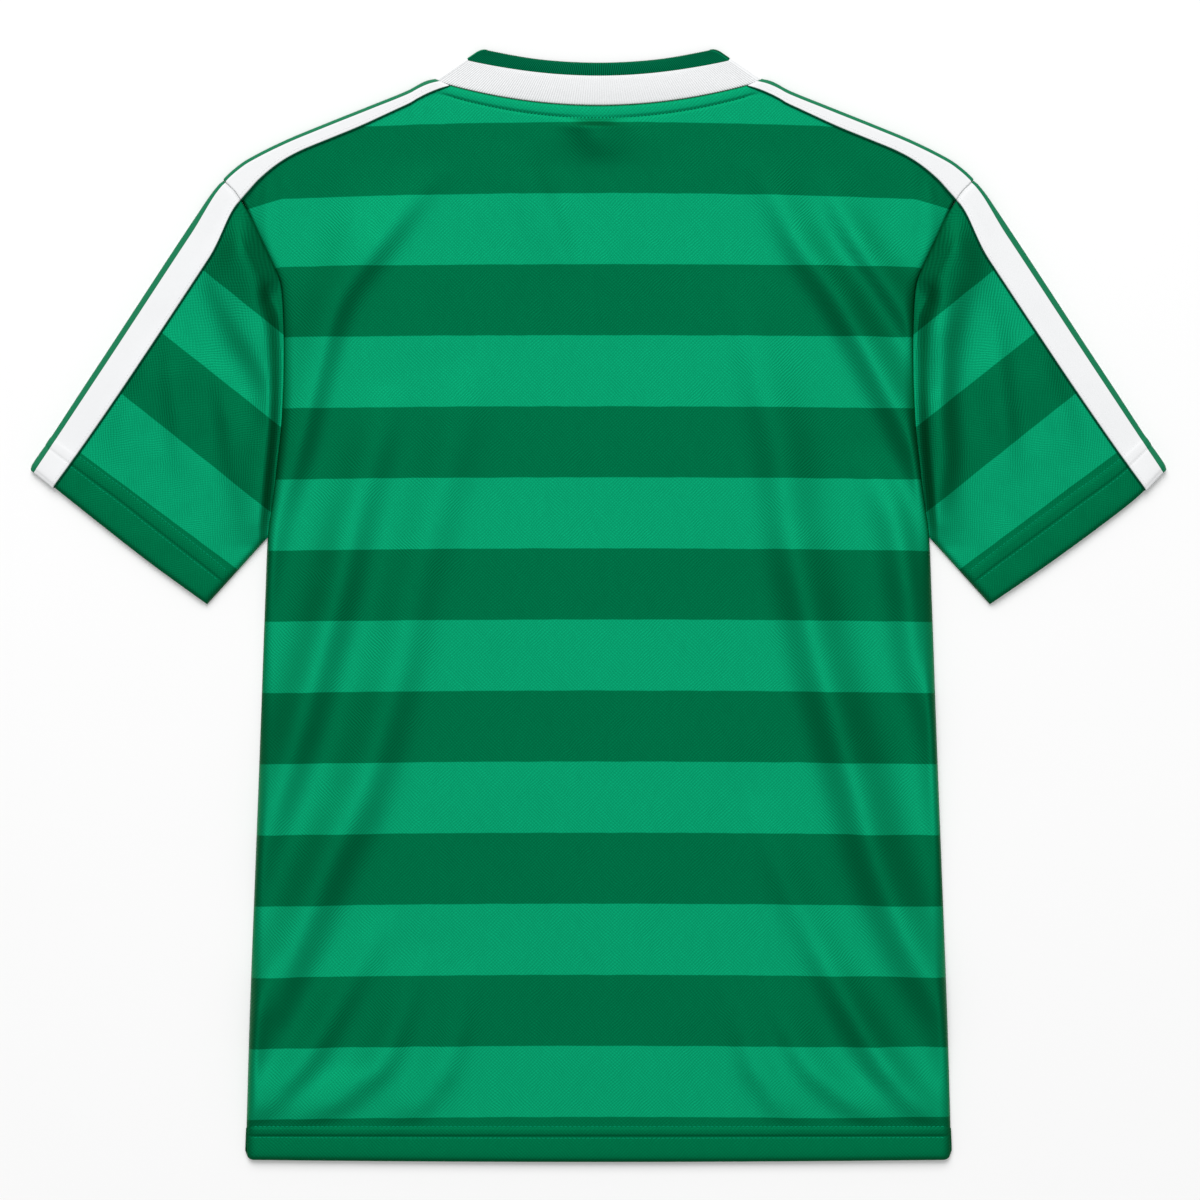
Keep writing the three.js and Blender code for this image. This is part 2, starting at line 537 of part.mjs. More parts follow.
/**
 * One colour of the knitted collar, as a loop folded at the shoulders. Shares run from the neck seam, 0,
 * to the free edge, 1. The back stands a little off the front, with its ribs raised.
 */
function collarLoop(name, colour, shares, backHeights) {
  const foldHeight = 3.3; // the middle of the back's cloth beside the folds
  const frontHeight = RIB / 2;
  const foldRadius = (foldHeight - frontHeight) / 2;
  const foldAngle = Math.atan2(COLLAR_TOP_UP + COLLAR_TOP_RISE - NECK_CORNER_UP, NECK_HALF - COLLAR_TOP_HALF);
  const foldOut = new THREE.Vector3(Math.sin(foldAngle), Math.cos(foldAngle), 0);
  const backHeight = curveThrough(backHeights, "share", "height");
  const ribStep = 8; // of the back's many rows, every eighth one is kept on the plain inside
  const stations = [
    ...evenly(2 * RIB_COUNT, -1, 1).map((side, i) => ({
      part: "back", side, drop: 0, rib: i % 2 === 0 ? 0 : 1, isKept: i % ribStep === 0,
    })),
    ...evenly(4, 90, -90).slice(1, -1).map((turn) => ({ part: "fold", side: 1, drop: 0, turn, isKept: true })),
    ...evenly(16, 0, Math.PI).map((angle) => ({
      part: "front", side: Math.cos(angle), drop: Math.sin(angle), isKept: true,
    })),
    ...evenly(4, -90, 90).slice(1, -1).map((turn) => ({ part: "fold", side: -1, drop: 0, turn, isKept: true })),
  ];
  const flatPoint = (station, share) => {
    const { part, side, drop } = station;
    const seamOut = part === "front" ? NECK_HALF - FRONT_CLEAR : NECK_HALF;
    const seamUp = part === "back" ? backNeckUp(NECK_HALF * side) : NECK_CORNER_UP;
    const edgeUp = COLLAR_TOP_UP + COLLAR_TOP_RISE * (part === "back" ? side ** 2 : 1);
    const seam = new THREE.Vector3(
      seamOut * side, seamUp + GAP - (NECK_CORNER_UP - GAP - FRONT_NECK_UP - FRONT_CLEAR) * drop, 0);
    const edge = new THREE.Vector3(
      COLLAR_TOP_HALF * side, edgeUp - (COLLAR_TOP_UP + COLLAR_TOP_RISE - COLLAR_FRONT_TOP_UP) * drop, 0);
    return seam.lerp(edge, share);
  };
  const point = (station, share, face) => {
    const p = flatPoint(station, share);
    if (station.part === "front") return p.setZ(frontHeight - face);
    if (station.part === "back") {
      const isMiddle = 1 - smooth(Math.abs(station.side), 0.45, 0.7);
      const ribs = face > 0 ? RIB_RELIEF * (station.rib - 0.5) : 0;
      return p.setZ(mix(foldHeight, backHeight(share), isMiddle) + face + ribs);
    }
    const turn = radians(station.turn);
    return p
      .addScaledVector(new THREE.Vector3(foldOut.x * station.side, foldOut.y, 0), (foldRadius + face) * Math.cos(turn))
      .setZ((foldHeight + frontHeight) / 2 + (foldRadius + face) * Math.sin(turn));
  };
  const keptStations = stations.filter((station) => station.isKept);
  const outer = shares.map((share) => stations.map((station) => point(station, share, RIB / 2)));
  const inner = shares.map((share) => keptStations.map((station) => point(station, share, -RIB / 2)));
  const kept = stations.flatMap((station, i) => (station.isKept ? [i] : []));
  return wall(name, colour, outer, inner, { looped: true, kept });
}

const whiteRib = () =>
  collarLoop("collar_rib", WHITE, [0, WHITE_SHARE / 2, WHITE_SHARE], [
    { share: 0, height: 3.7 },
    { share: 0.35, height: 4.5 },
    { share: WHITE_SHARE, height: 4.1 },
  ]);
const greenRib = () =>
  collarLoop("collar_edge", DARK_GREEN, [WHITE_SHARE + 0.01, 1], [
    { share: WHITE_SHARE, height: 3.5 },
    { share: 1, height: 2.7 },
  ]);

const jersey = new THREE.Group();
jersey.add(frontPanel(), backPanel(), whiteRib(), greenRib());
for (const [side, isLeft] of [["right", false], ["left", true]]) {
  jersey.add(
    sleeve(`sleeve_${side}`, isLeft),
    shoulderTape(`shoulder_tape_${side}`, isLeft),
    sleeveTape(`sleeve_tape_${side}`, isLeft),
  );
}

// The garment's middle goes over the origin
const extent = new THREE.Box3().setFromObject(jersey, true);
jersey.position.y = -(extent.min.y + extent.max.y) / 2;
const garment = new THREE.Group();
garment.add(jersey);

export default garment;
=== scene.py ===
"""A short-sleeved, hooped football jersey that lies flat on its front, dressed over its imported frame.

Tables and sizes are millimetres, measured as a cutter would: "out" from the centre line, and "up" from the
hem's lowest edge. A piece's points are turned into metres in the frame when they are placed.
"""

from __future__ import annotations

import logging
import math
from bisect import bisect_right
from collections.abc import Callable, Iterable, Sequence
from dataclasses import dataclass, field, replace
from enum import Enum

import bmesh
import bpy
from mathutils import Matrix, Vector, noise

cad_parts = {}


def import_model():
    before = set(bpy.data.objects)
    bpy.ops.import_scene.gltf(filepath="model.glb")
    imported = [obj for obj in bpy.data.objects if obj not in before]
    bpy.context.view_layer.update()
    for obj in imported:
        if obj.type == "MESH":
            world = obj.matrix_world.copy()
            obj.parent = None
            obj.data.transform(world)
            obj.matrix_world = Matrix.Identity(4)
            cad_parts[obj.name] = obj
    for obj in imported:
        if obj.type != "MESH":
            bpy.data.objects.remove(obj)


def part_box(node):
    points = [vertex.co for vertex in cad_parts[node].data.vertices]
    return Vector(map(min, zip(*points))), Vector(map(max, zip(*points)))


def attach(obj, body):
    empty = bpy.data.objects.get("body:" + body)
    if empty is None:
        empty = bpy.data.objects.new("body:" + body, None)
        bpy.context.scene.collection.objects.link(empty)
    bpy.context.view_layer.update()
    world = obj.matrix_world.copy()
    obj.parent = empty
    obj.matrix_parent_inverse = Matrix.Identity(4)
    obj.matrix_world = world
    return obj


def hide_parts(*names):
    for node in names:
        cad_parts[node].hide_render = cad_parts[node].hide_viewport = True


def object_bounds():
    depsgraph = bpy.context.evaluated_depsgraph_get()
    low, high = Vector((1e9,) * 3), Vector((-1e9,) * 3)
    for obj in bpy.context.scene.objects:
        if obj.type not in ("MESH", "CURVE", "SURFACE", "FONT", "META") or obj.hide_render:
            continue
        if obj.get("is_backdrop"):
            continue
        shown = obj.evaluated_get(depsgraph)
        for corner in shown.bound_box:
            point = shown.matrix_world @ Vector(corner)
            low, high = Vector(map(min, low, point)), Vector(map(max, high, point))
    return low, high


log = logging.getLogger("jersey")

MM = 0.001
BODY = "root"
CLOTH_UV = "cloth"
UP = Vector((0, 0, 1))


class Side(Enum):
    """A side of the garment as it lies, seen from above."""

    RIGHT = 1
    LEFT = -1

    @property
    def word(self) -> str:
        """The side as it stands in names."""
        return self.name.lower()


def mix(start: float, end: float, share: float) -> float:
    """A value some share of the way from start to end."""
    return start + (end - start) * share


def smooth(value: float, low: float, high: float) -> float:
    """0 below low and 1 above high, with a smooth step between them."""
    t = min(max((value - low) / (high - low), 0.0), 1.0)
    return t * t * (3 - 2 * t)


def quarter_round(distance: float, roll: float) -> float:
    """From 0 at an edge to 1 at the roll's full width, along a quarter circle."""
    t = min(max(distance / roll, 0.0), 1.0)
    return math.sqrt(1 - (1 - t) ** 2)


def hump(distance: float, width: float) -> float:
    """A soft bump, 1 high in its middle."""
    return math.exp(-((distance / width) ** 2))


def evenly(count: int, start: float, end: float) -> list[float]:
    """Values in equal steps, both ends included."""
    return [mix(start, end, i / count) for i in range(count + 1)]


def closer_at_ends(count: int, start: float, end: float, pull: float = 0.6) -> list[float]:
    """Values that lie closer together near both ends.

    Args:
        count: The number of steps.
        start: The first value.
        end: The last value.
        pull: 0 for equal steps, and up to 1 for steps that shrink to nothing at the ends.
    """
    shares = evenly(count, -1, 1)
    return [mix(start, end, (mix(s, math.sin(s * math.pi / 2), pull) + 1) / 2) for s in shares]


class Curve:
    """A smooth curve through rows of a position and a value."""

    def __init__(self, *rows: tuple[float, float]) -> None:
        """Args: rows: Each position, rising, with its value."""
        self.positions = [row[0] for row in rows]
        self.values = [row[1] for row in rows]
        last = len(rows) - 1
        self.slopes = []
        for i in range(len(rows)):
            before, after = max(i - 1, 0), min(i + 1, last)
            run = self.positions[after] - self.positions[before]
            self.slopes.append((self.values[after] - self.values[before]) / run)

    def _row(self, position: float) -> tuple[int, float, float]:
        """The row below a position, the span to the next, and the share of the way through it."""
        i = min(max(bisect_right(self.positions, position) - 1, 0), len(self.positions) - 2)
        span = self.positions[i + 1] - self.positions[i]
        return i, span, min(max((position - self.positions[i]) / span, 0.0), 1.0)

    def at(self, position: float) -> float:
        """The curve's value at a position."""
        i, span, t = self._row(position)
        rise = self.values[i + 1] - self.values[i]
        start, end = span * self.slopes[i], span * self.slopes[i + 1]
        bend = 3 * rise - 2 * start - end
        return self.values[i] + start * t + bend * t**2 + (start + end - 2 * rise) * t**3

    def straight(self, position: float) -> float:
        """The value at a position, in straight steps between the rows."""
        i, _, t = self._row(position)
        return mix(self.values[i], self.values[i + 1], t)


@dataclass(frozen=True)
class Fold:
    """A fold that runs down the cloth, with a steep flank on one side and a gentle one on the other.

    Attributes:
        rows: From the top down: how far up, how far out the steep flank is, and how high the crest.
        steep: How far the steep flank reaches.
        gentle: How far the other flank reaches.
        steep_inside: Whether the steep flank is on the inner side, towards the garment's middle.
    """

    rows: tuple[tuple[float, float, float], ...]
    steep: float = 9.5
    gentle: float = 18.0
    steep_inside: bool = True


class Track:
    """A fold's place and height, worked out for each step up the cloth."""

    STEP = 2.0
    CREST_PAST_FLANK = 0.7
    FADED_AT = 3.0

    def __init__(self, fold: Fold) -> None:
        """Args: fold: The fold."""
        rows = sorted(fold.rows)
        outs = Curve(*((up, out) for up, out, _ in rows))
        rises = Curve(*((up, rise) for up, _, rise in rows))
        self.fold = fold
        self.low, self.high = rows[0][0], rows[-1][0]
        middle = outs.at((self.low + self.high) / 2)
        self.side = math.copysign(1.0, middle) * (1 if fold.steep_inside else -1)
        self.entries = []
        for i in range(int((self.high - self.low) / self.STEP) + 2):
            up = self.low + i * self.STEP
            lean = (outs.at(up + self.STEP) - outs.at(up - self.STEP)) / (2 * self.STEP)
            self.entries.append((outs.at(up), rises.straight(up), 1 / math.hypot(1, lean)))

    def height(self, x: float, y: float) -> float:
        """The fold's height at a point."""
        if not self.low < y < self.high:
            return 0.0
        i = int((y - self.low) / self.STEP)
        t = (y - self.low) / self.STEP - i
        out, rise, cosine = (mix(a, b, t) for a, b in zip(self.entries[i], self.entries[i + 1]))
        from_crest = (x - out) * self.side * cosine - self.fold.steep * self.CREST_PAST_FLANK
        across = from_crest / (self.fold.gentle if from_crest > 0 else self.fold.steep)
        return rise * math.exp(-across * across) if abs(across) < self.FADED_AT else 0.0


class Drape:
    """The height that folds and the cloth's own unevenness give a panel."""

    BROAD = (70.0, 110.0)
    FINE = (26.0, 40.0)
    FINE_SHARE = 0.35

    def __init__(self, folds: Sequence[Fold], unevenness: float, seed: float) -> None:
        """Args:
            folds: The folds, whose heights add up.
            unevenness: How far the cloth between folds rises and sinks.
            seed: Where in the noise this cloth lies, so that no two cloths are alike.
        """
        self.tracks = [Track(fold) for fold in folds]
        self.unevenness = unevenness
        self.seed = seed

    def height(self, x: float, y: float) -> float:
        """The height above the resting cloth at a point."""
        total = sum(track.height(x, y) for track in self.tracks)
        broad, fine = (
            noise.noise(Vector((x / size[0], y / size[1], seed)))
            for size, seed in ((self.BROAD, self.seed), (self.FINE, self.seed + 9))
        )
        return total + self.unevenness * (broad + self.FINE_SHARE * fine)


# The back's side line from the hem to the shoulder: rows of up and out
SIDE_LINE = Curve(
    (0, 247.2), (100, 244.4), (200, 240.6), (300, 236.8), (400, 233.2), (438, 231.5), (467, 227.6),
    (494, 224.4), (518, 222.0), (549, 220.6), (580, 220.6), (612, 222.4), (621, 225.6), (647, 237.8),
    (667, 246.6), (678, 253.5), (687, 260.2),
)
# The sleeve's sewn end, which lies under the back below the tuck: rows of up and out
SLEEVE_END = Curve(
    (443, 226.0), (467, 222.4), (494, 219.2), (518, 216.8), (549, 215.4), (580, 215.4), (600, 217.2),
    (612, 223.0), (621, 226.3), (647, 238.5), (667, 247.3), (678, 254.2), (684.2, 260.4),
)
# The fold of the shoulder and the sleeve, from the collar to the cuff: rows of out and up
TOP_LINE = Curve(
    (113.4, 758.4), (121.5, 756.2), (133, 749.8), (159, 739.2), (194, 725.2), (221, 713.9), (246, 701.2),
    (256, 693.9), (263, 687.2), (270.6, 678.4), (279.8, 665.0), (299.6, 635.2), (344.0, 567.4),
    (397.9, 485.8),
)
# Where the outline's corners and seams are: out from the centre line, and up
ARMHOLE_OUT = 263.0
SHOULDER_END_UP = 687.0
UNDERARM_UP = 438.0
TUCK_TOP_UP = 612.0
NECK_HALF = 112.4
BACK_NECK_UP = 738.9
BACK_NECK_RISE = 16.5
FRONT_NECK_UP = 668.0
CUFF_INNER = Vector((273.6, 390.4))
# How the hem bows and rounds its corners, and the share of the height above which the rows bend to the top
HEM_BOW = 1.5
HEM_CORNER = 5.6
LIFT_FROM = 0.45
# How far each cuff's edge bows out, from the underarm to the fold
CUFF_BOWS = {
    Side.LEFT: Curve((0, 0), (0.31, 1.4), (0.6, 1.2), (0.84, 0.6), (1, 0)),
    Side.RIGHT: Curve((0, 0), (0.31, 2.6), (0.6, 3.8), (0.84, 3.5), (1, 0)),
}
# How far the middle of the shoulder's and sleeve's fold lies in from their edge
FOLD_IN = 3.8

# Heights above the surface
FRONT_LAYER = 1.2
BACK_REST = 5.0
BACK_HEM = 4.7
SLEEVE_HEM = 4.5

# The upright crease beside each armhole, where the slack of the shoulder turns down
CREASE_OUT = 222.0

# The knitted hoops, measured from a hem's edge, and how the body's bow as it lies
HOOP_FIRST = 30.8
HOOP_PITCH = 49.75
HOOP_BOW_OUT = 235.0
HOOP_BOW = 1.8
HOOP_BOW_AT_SHOULDER = 4.8
HOOP_PAST_CREASE = 0.28
HOOP_CORNER_DROP = 2.4
CUFF_HOOP_FIRST = 30.0
# How a sleeve's hoops lie off their even places and turn across it: rows of distance from the cuff
CUFF_HOOP_SHIFT = Curve((30, 0.2), (80, -1.35), (130, 0), (179, 1.5))
CUFF_HOOP_TURN = Curve((30, -2.7), (80, 2.7), (130, 2.3), (179, 5.0))

BACK_FOLDS = (
    # Left side, from the shoulder to the hem
    Fold((
        (700, -100, 0), (672, -123, 3.1), (640, -147, 6.1), (600, -175, 6.1), (551, -190, 5.2),
        (500, -203, 5.9), (452, -217, 3.5), (402, -229, 3.8), (360, -236, 0),
    ), 10.5, 22),
    Fold((
        (545, -136, 0), (500, -146, 3.8), (452, -160, 5.4), (402, -171, 7.3), (352, -185, 7.3),
        (303, -199, 7.8), (253, -215, 6.4), (204, -229, 4.7), (150, -241, 0),
    ), 15, 18),
    Fold((
        (560, -78, 0), (500, -91, 3.1), (452, -103, 3.8), (402, -117, 4.2), (352, -127, 5),
        (303, -140, 6.6), (253, -156, 8), (204, -179, 8.5), (154, -199, 8.3), (105, -219, 7.1),
        (44, -236, 0),
    ), 17, 21),
    Fold((
        (176, -143, 0), (154, -151, 1.7), (105, -177, 4.4), (80, -191, 5.4), (60, -204, 5.4),
        (40, -222, 4.6), (18, -240, 0),
    ), 12, 16),
    Fold((
        (150, -112, 0), (105, -129, 2.6), (73, -141, 4.4), (60, -149, 4.8), (40, -174, 4.0), (18, -202, 0),
    ), 12, 15),
    Fold(((140, -84, 0), (90, -92, 2.4), (60, -102, 3.2), (40, -116, 2.8), (18, -132, 0)), 12, 17),
    Fold(((150, -222, 0), (105, -233, 3.1), (60, -238, 2.8), (24, -242, 0)), 8, 12),
    Fold(((700, -150, 0), (655, -166, 1.9), (620, -186, 0)), 8, 16),
    # Right side
    Fold((
        (706, 100, 0), (672, 117, 3.3), (640, 133, 5.7), (600, 160, 7.8), (551, 187, 7.8),
        (500, 212, 8), (452, 228, 4), (415, 236, 0),
    ), 11.5, 16),
    Fold(((694, 148, 0), (640, 176, 5.7), (600, 203, 5.4), (560, 225, 3.1), (520, 238, 0)), 8.5, 14),
    Fold((
        (620, 88, 0), (551, 102, 3.1), (500, 115, 5.2), (452, 121, 5.4), (402, 131, 7.8),
        (352, 142, 8.3), (303, 156, 9.4), (253, 170, 9.4), (204, 184, 9.7), (154, 204, 8.7),
        (105, 229, 6.8), (60, 244, 2.9), (40, 248, 0),
    ), 16.5, 20),
    Fold((
        (500, 174, 0), (452, 196, 4.7), (402, 206, 6.6), (352, 212, 5.4), (303, 228, 6.1),
        (253, 233, 4.7), (204, 240, 3.1), (160, 246, 0),
    ), 14, 13),
    Fold((
        (255, 104, 0), (204, 119, 2.2), (154, 142, 3.2), (105, 168, 5.9), (60, 194, 6.4), (40, 210, 4.6),
        (18, 230, 0),
    ), 12, 14),
    Fold(((130, 112, 0), (90, 126, 2.6), (60, 143, 4.2), (40, 166, 3.6), (18, 192, 0)), 11, 15),
    Fold(((130, 88, 0), (90, 95, 2.0), (60, 105, 3.0), (40, 118, 2.4), (18, 134, 0)), 10, 16),
    # Under the collar, and the slack beside the armholes
    Fold(((744, -18, 0), (724, -16, 6.0), (714, -12, 4.5), (698, -4, 0)), 15, 24, False),
    Fold(((714, -14, 0), (697, -10, -1.5), (682, -4, -1.2), (630, 14, 0)), 18, 26),
    Fold(((712, -52, 0), (684, -38, 1.6), (650, -24, 1.6), (616, -13, 0)), 8, 22),
    Fold(((708, -226, 0), (686, -229, 1.0), (650, -229, 1.0), (626, -226, 0)), 4, 6),
    Fold(((708, 226, 0), (686, 229, 1.0), (650, 229, 1.0), (626, 226, 0)), 4, 6),
    Fold(((706, -236, 0), (684, -239, 0.8), (660, -238, 0)), 3.5, 5),
    Fold(((706, 236, 0), (684, 239, 0.8), (660, 238, 0)), 3.5, 5),
)
# The folds of either sleeve, which are drawn for the right one
SLEEVE_FOLDS = (
    # Beside the armhole seam, and then beside the body's edge, which the sleeve slopes down to
    Fold((
        (700, 264, 0), (672, 257, 5.0), (640, 244, 7.4), (610, 232, 7.8), (580, 227, 6.0), (556, 226, 2.6),
        (540, 227, 0),
    ), 10, 20),
    Fold((
        (556, 226, 0), (530, 227, 3.4), (500, 229, 4.4), (470, 232, 4.4), (446, 235, 3.4), (430, 238, 0),
    ), 6, 15),
)
LEFT_SLEEVE_FOLDS = (
    Fold((
        (656, 290, 0), (610, 272, 2.6), (580, 257, 3.2), (550, 238, 3.4), (520, 231, 2.0), (496, 226, 0),
    ), 9, 14, False),
    Fold(((594, 304, 0), (550, 303, 2.8), (520, 300, 2.6), (470, 296, 0)), 9, 16, False),
    Fold(((565, 274, 0), (520, 265, 3.0), (490, 261, 2.0), (446, 252, 0)), 9, 14, False),
    Fold(((592, 328, 0), (550, 324, 2.2), (520, 338, 1.8), (486, 342, 0)), 11, 20, False),
)
RIGHT_SLEEVE_FOLDS = (
    Fold((
        (626, 262, 0), (580, 248, 4.2), (550, 246, 5.0), (520, 246, 5.4), (490, 248, 4.0),
        (460, 243, 2.0), (436, 240, 0),
    ), 9, 11, False),
    Fold(((616, 272, 0), (580, 284, 1.8), (550, 286, 3.0), (520, 290, 3.0), (470, 294, 0)), 9, 14, False),
    Fold(((600, 318, 0), (550, 320, 2.2), (520, 332, 1.8), (486, 338, 0)), 10, 20, False),
)


def back_neck_up(x: float) -> float:
    """The height of the back's neck seam at a distance from the centre."""
    return BACK_NECK_UP + BACK_NECK_RISE * (x / NECK_HALF) ** 2


NECK_CORNER_UP = back_neck_up(NECK_HALF)


def front_neck_up(x: float) -> float:
    """The height of the front's neck seam, half an ellipse below the shoulders."""
    drop = math.sqrt(max(0.0, 1 - (x / NECK_HALF) ** 2))
    return NECK_CORNER_UP - (NECK_CORNER_UP - FRONT_NECK_UP) * drop


class Table:
    """The flat surface, and where the lying garment is on it."""

    def __init__(self) -> None:
        """Reads the hem's place from the frame."""
        self.hem_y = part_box("back_panel")[0].y

    def place(self, x: float, up: float, z: float) -> Vector:
        """A point of the garment in metres, in the frame."""
        return Vector((x * MM, up * MM + self.hem_y, z * MM))


@dataclass(frozen=True)
class Row:
    """One row of a cloth's grid.

    Attributes:
        along: How far from the hem's edge the row lies on the outer face.
        reach: How far it goes past that edge, in the hem's turn.
        inset: How far it lies below the outer face.
    """

    along: float
    reach: float = 0.0
    inset: float = 0.0


def edge_turn(radius: float, start: float) -> list[Row]:
    """The rows round a turned edge, from an angle inside it up to the outer face."""
    angles = evenly(6, start, 0)[:-1]
    return [Row(0, radius * math.sin(angle), radius * (1 - math.cos(angle))) for angle in angles]


def hem_rows(depth: float, radius: float) -> list[Row]:
    """The rows of a hem that is turned up inside, from its hidden end to the outer face's edge.

    Args:
        depth: The hem's depth.
        radius: The radius of its turned edge.

    Returns:
        The hidden rows, then the turn.
    """
    hidden = [Row(depth * share, inset=2 * radius) for share in (0.95, 0.6, 0.2)]
    return hidden + edge_turn(radius, math.pi)


@dataclass(frozen=True)
class HemShape:
    """A turned hem, held by two rows of stitches with a raised channel between them.

    Attributes:
        lower: The lower row's distance from the edge.
        upper: The upper row's distance from the edge.
        radius: The radius of the turned edge.
        doubled: How much the double cloth stands up.
        channel: How high the channel rises between the rows.
        pull: How far each row of stitches pulls the cloth down.
        crown, swell: How far the band below the rows swells, and how soon.
        stitch_width: How wide a row's furrow is.
        edge_drop, edge_width: How far the edge rolls down, and over which width.
    """

    lower: float
    upper: float
    radius: float = 0.9
    doubled: float = 0.35
    channel: float = 0.55
    pull: float = 0.4
    crown: float = 0.8
    swell: float = 0.55
    stitch_width: float = 0.9
    edge_drop: float = 0.6
    edge_width: float = 3.0

    @property
    def sewn_at(self) -> tuple[float, float]:
        """The distances at which the two rows of stitches are sewn."""
        return self.lower - 1.1, self.upper + 0.3

    def relief(self, distance: float) -> float:
        """How far the hem stands up at a distance from its edge."""
        middle, half = (self.lower + self.upper) / 2, (self.upper - self.lower) / 2
        across = (distance - middle) / half
        channel = self.channel * math.sqrt(max(0.0, 1 - across * across))
        furrows = self.pull * sum(hump(distance - row, self.stitch_width) for row in (self.lower, self.upper))
        band = self.crown * math.sin(math.pi * min(distance / self.lower, 1.0) ** self.swell)
        edge = self.edge_drop * (1 - quarter_round(distance, self.edge_width))
        doubled = self.doubled * (1 - smooth(distance, self.upper, self.upper + 2))
        return doubled + channel + band - furrows - edge


def shape_grid(
    columns: Sequence,
    rows: Sequence,
    place: Callable[[object, object], Vector],
    pattern: Callable[[object, object], tuple[float, float]],
) -> bmesh.types.BMesh:
    """A grid whose vertices are moved to a surface, with the cloth's own flat places as its UV map.

    Args:
        columns: What place and pattern take for each column.
        rows: What they take for each row.
        place: Gives the point of a column and row in the frame.
        pattern: Gives its place on the flat cloth, in metres.

    Returns:
        The shaped grid.
    """
    bm = bmesh.new()
    across, up = len(columns) - 1, len(rows) - 1
    bmesh.ops.create_grid(bm, x_segments=across, y_segments=up, size=1.0)
    flat = {}
    for vert in bm.verts:
        column = columns[round((vert.co.x + 1) / 2 * across)]
        row = rows[round((vert.co.y + 1) / 2 * up)]
        vert.co = place(column, row)
        flat[vert] = pattern(column, row)
    uv = bm.loops.layers.uv.new(CLOTH_UV)
    for face in bm.faces:
        for loop in face.loops:
            loop[uv].uv = flat[loop.vert]
    return bm


def face_outward(bm: bmesh.types.BMesh, outward: Vector) -> None:
    """Turns a sheet's faces to one side, so that its furthest face in a direction faces that way."""
    bmesh.ops.recalc_face_normals(bm, faces=bm.faces[:])
    outermost = max(bm.faces, key=lambda face: face.calc_center_median().dot(outward))
    if outermost.normal.dot(outward) < 0:
        bmesh.ops.reverse_faces(bm, faces=bm.faces[:])


def link(name: str, data: bpy.types.ID) -> bpy.types.Object:
    """An object of its data, linked in the scene."""
    piece = bpy.data.objects.new(name, data)
    bpy.context.scene.collection.objects.link(piece)
    return piece


def make_object(name: str, bm: bmesh.types.BMesh, finish: bpy.types.Material) -> bpy.types.Object:
    """Turns a bmesh into a smooth object that rides on the garment's body, and reports it.

    Args:
        name: The piece's name.
        bm: The mesh in frame metres, which is freed.
        finish: Its material.

    Returns:
        The linked object.
    """
    mesh = bpy.data.meshes.new(name)
    bm.to_mesh(mesh)
    bm.free()
    mesh.materials.append(finish)
    mesh.polygons.foreach_set("use_smooth", [True] * len(mesh.polygons))
    piece = link(name, mesh)
    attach(piece, BODY)
    log.info("%s: %d vertices", name, len(mesh.vertices))
    return piece


def make_cloth(
    name: str,
    bm: bmesh.types.BMesh,
    finish: bpy.types.Material,
    thickness: float,
    outward: Vector = UP,
) -> bpy.types.Object:
    """Turns a shaped grid into a cloth that is thickened inwards from its outer face.

    Args:
        name: The piece's name.
        bm: The outer face.
        finish: Its material.
        thickness: The cloth's thickness in millimetres.
        outward: The way that its outermost face looks.

    Returns:
        The cloth.
    """
    face_outward(bm, outward)
    piece = make_object(name, bm, finish)
    wall = piece.modifiers.new("thickness", "SOLIDIFY")
    wall.thickness = thickness * MM
    wall.offset = -1.0
    wall.use_even_offset = False
    return piece


class TopFold:
    """The fold of the shoulder and sleeve, measured along its length from the armhole seam."""

    STEPS = 600
    SPREAD = 22

    def __init__(self) -> None:
        """Walks the top line and notes its length."""
        outs = evenly(self.STEPS, TOP_LINE.positions[0], TOP_LINE.positions[-1])
        self.points = [Vector((out, TOP_LINE.at(out))) for out in outs]
        self.lengths = [0.0]
        for before, after in zip(self.points, self.points[1:]):
            self.lengths.append(self.lengths[-1] + (after - before).length)
        seam = min(range(len(outs)), key=lambda i: abs(outs[i] - ARMHOLE_OUT))
        self.shoulder_length = self.lengths[seam]
        self.sleeve_length = self.lengths[-1] - self.shoulder_length

    def at(self, distance: float, inwards: float) -> tuple[Vector, Vector, Vector]:
        """A point at a distance past the armhole seam and some way in from the fold.

        Returns:
            The point, the way out of the cloth and the way along the fold.
        """
        length = min(max(self.shoulder_length + distance, 0.0), self.lengths[-1] - 1e-6)
        i = min(max(bisect_right(self.lengths, length) - 1, 0), len(self.points) - 2)
        low, high = max(i - self.SPREAD, 0), min(i + self.SPREAD, len(self.points) - 1)
        along = (self.points[high] - self.points[low]).normalized()
        outward = Vector((-along.y, along.x))
        share = (length - self.lengths[i]) / (self.lengths[i + 1] - self.lengths[i])
        return self.points[i].lerp(self.points[i + 1], share) - outward * inwards, outward, along


TOP_FOLD = TopFold()


Socket = bpy.types.NodeSocket
Colour = tuple[float, float, float, float]


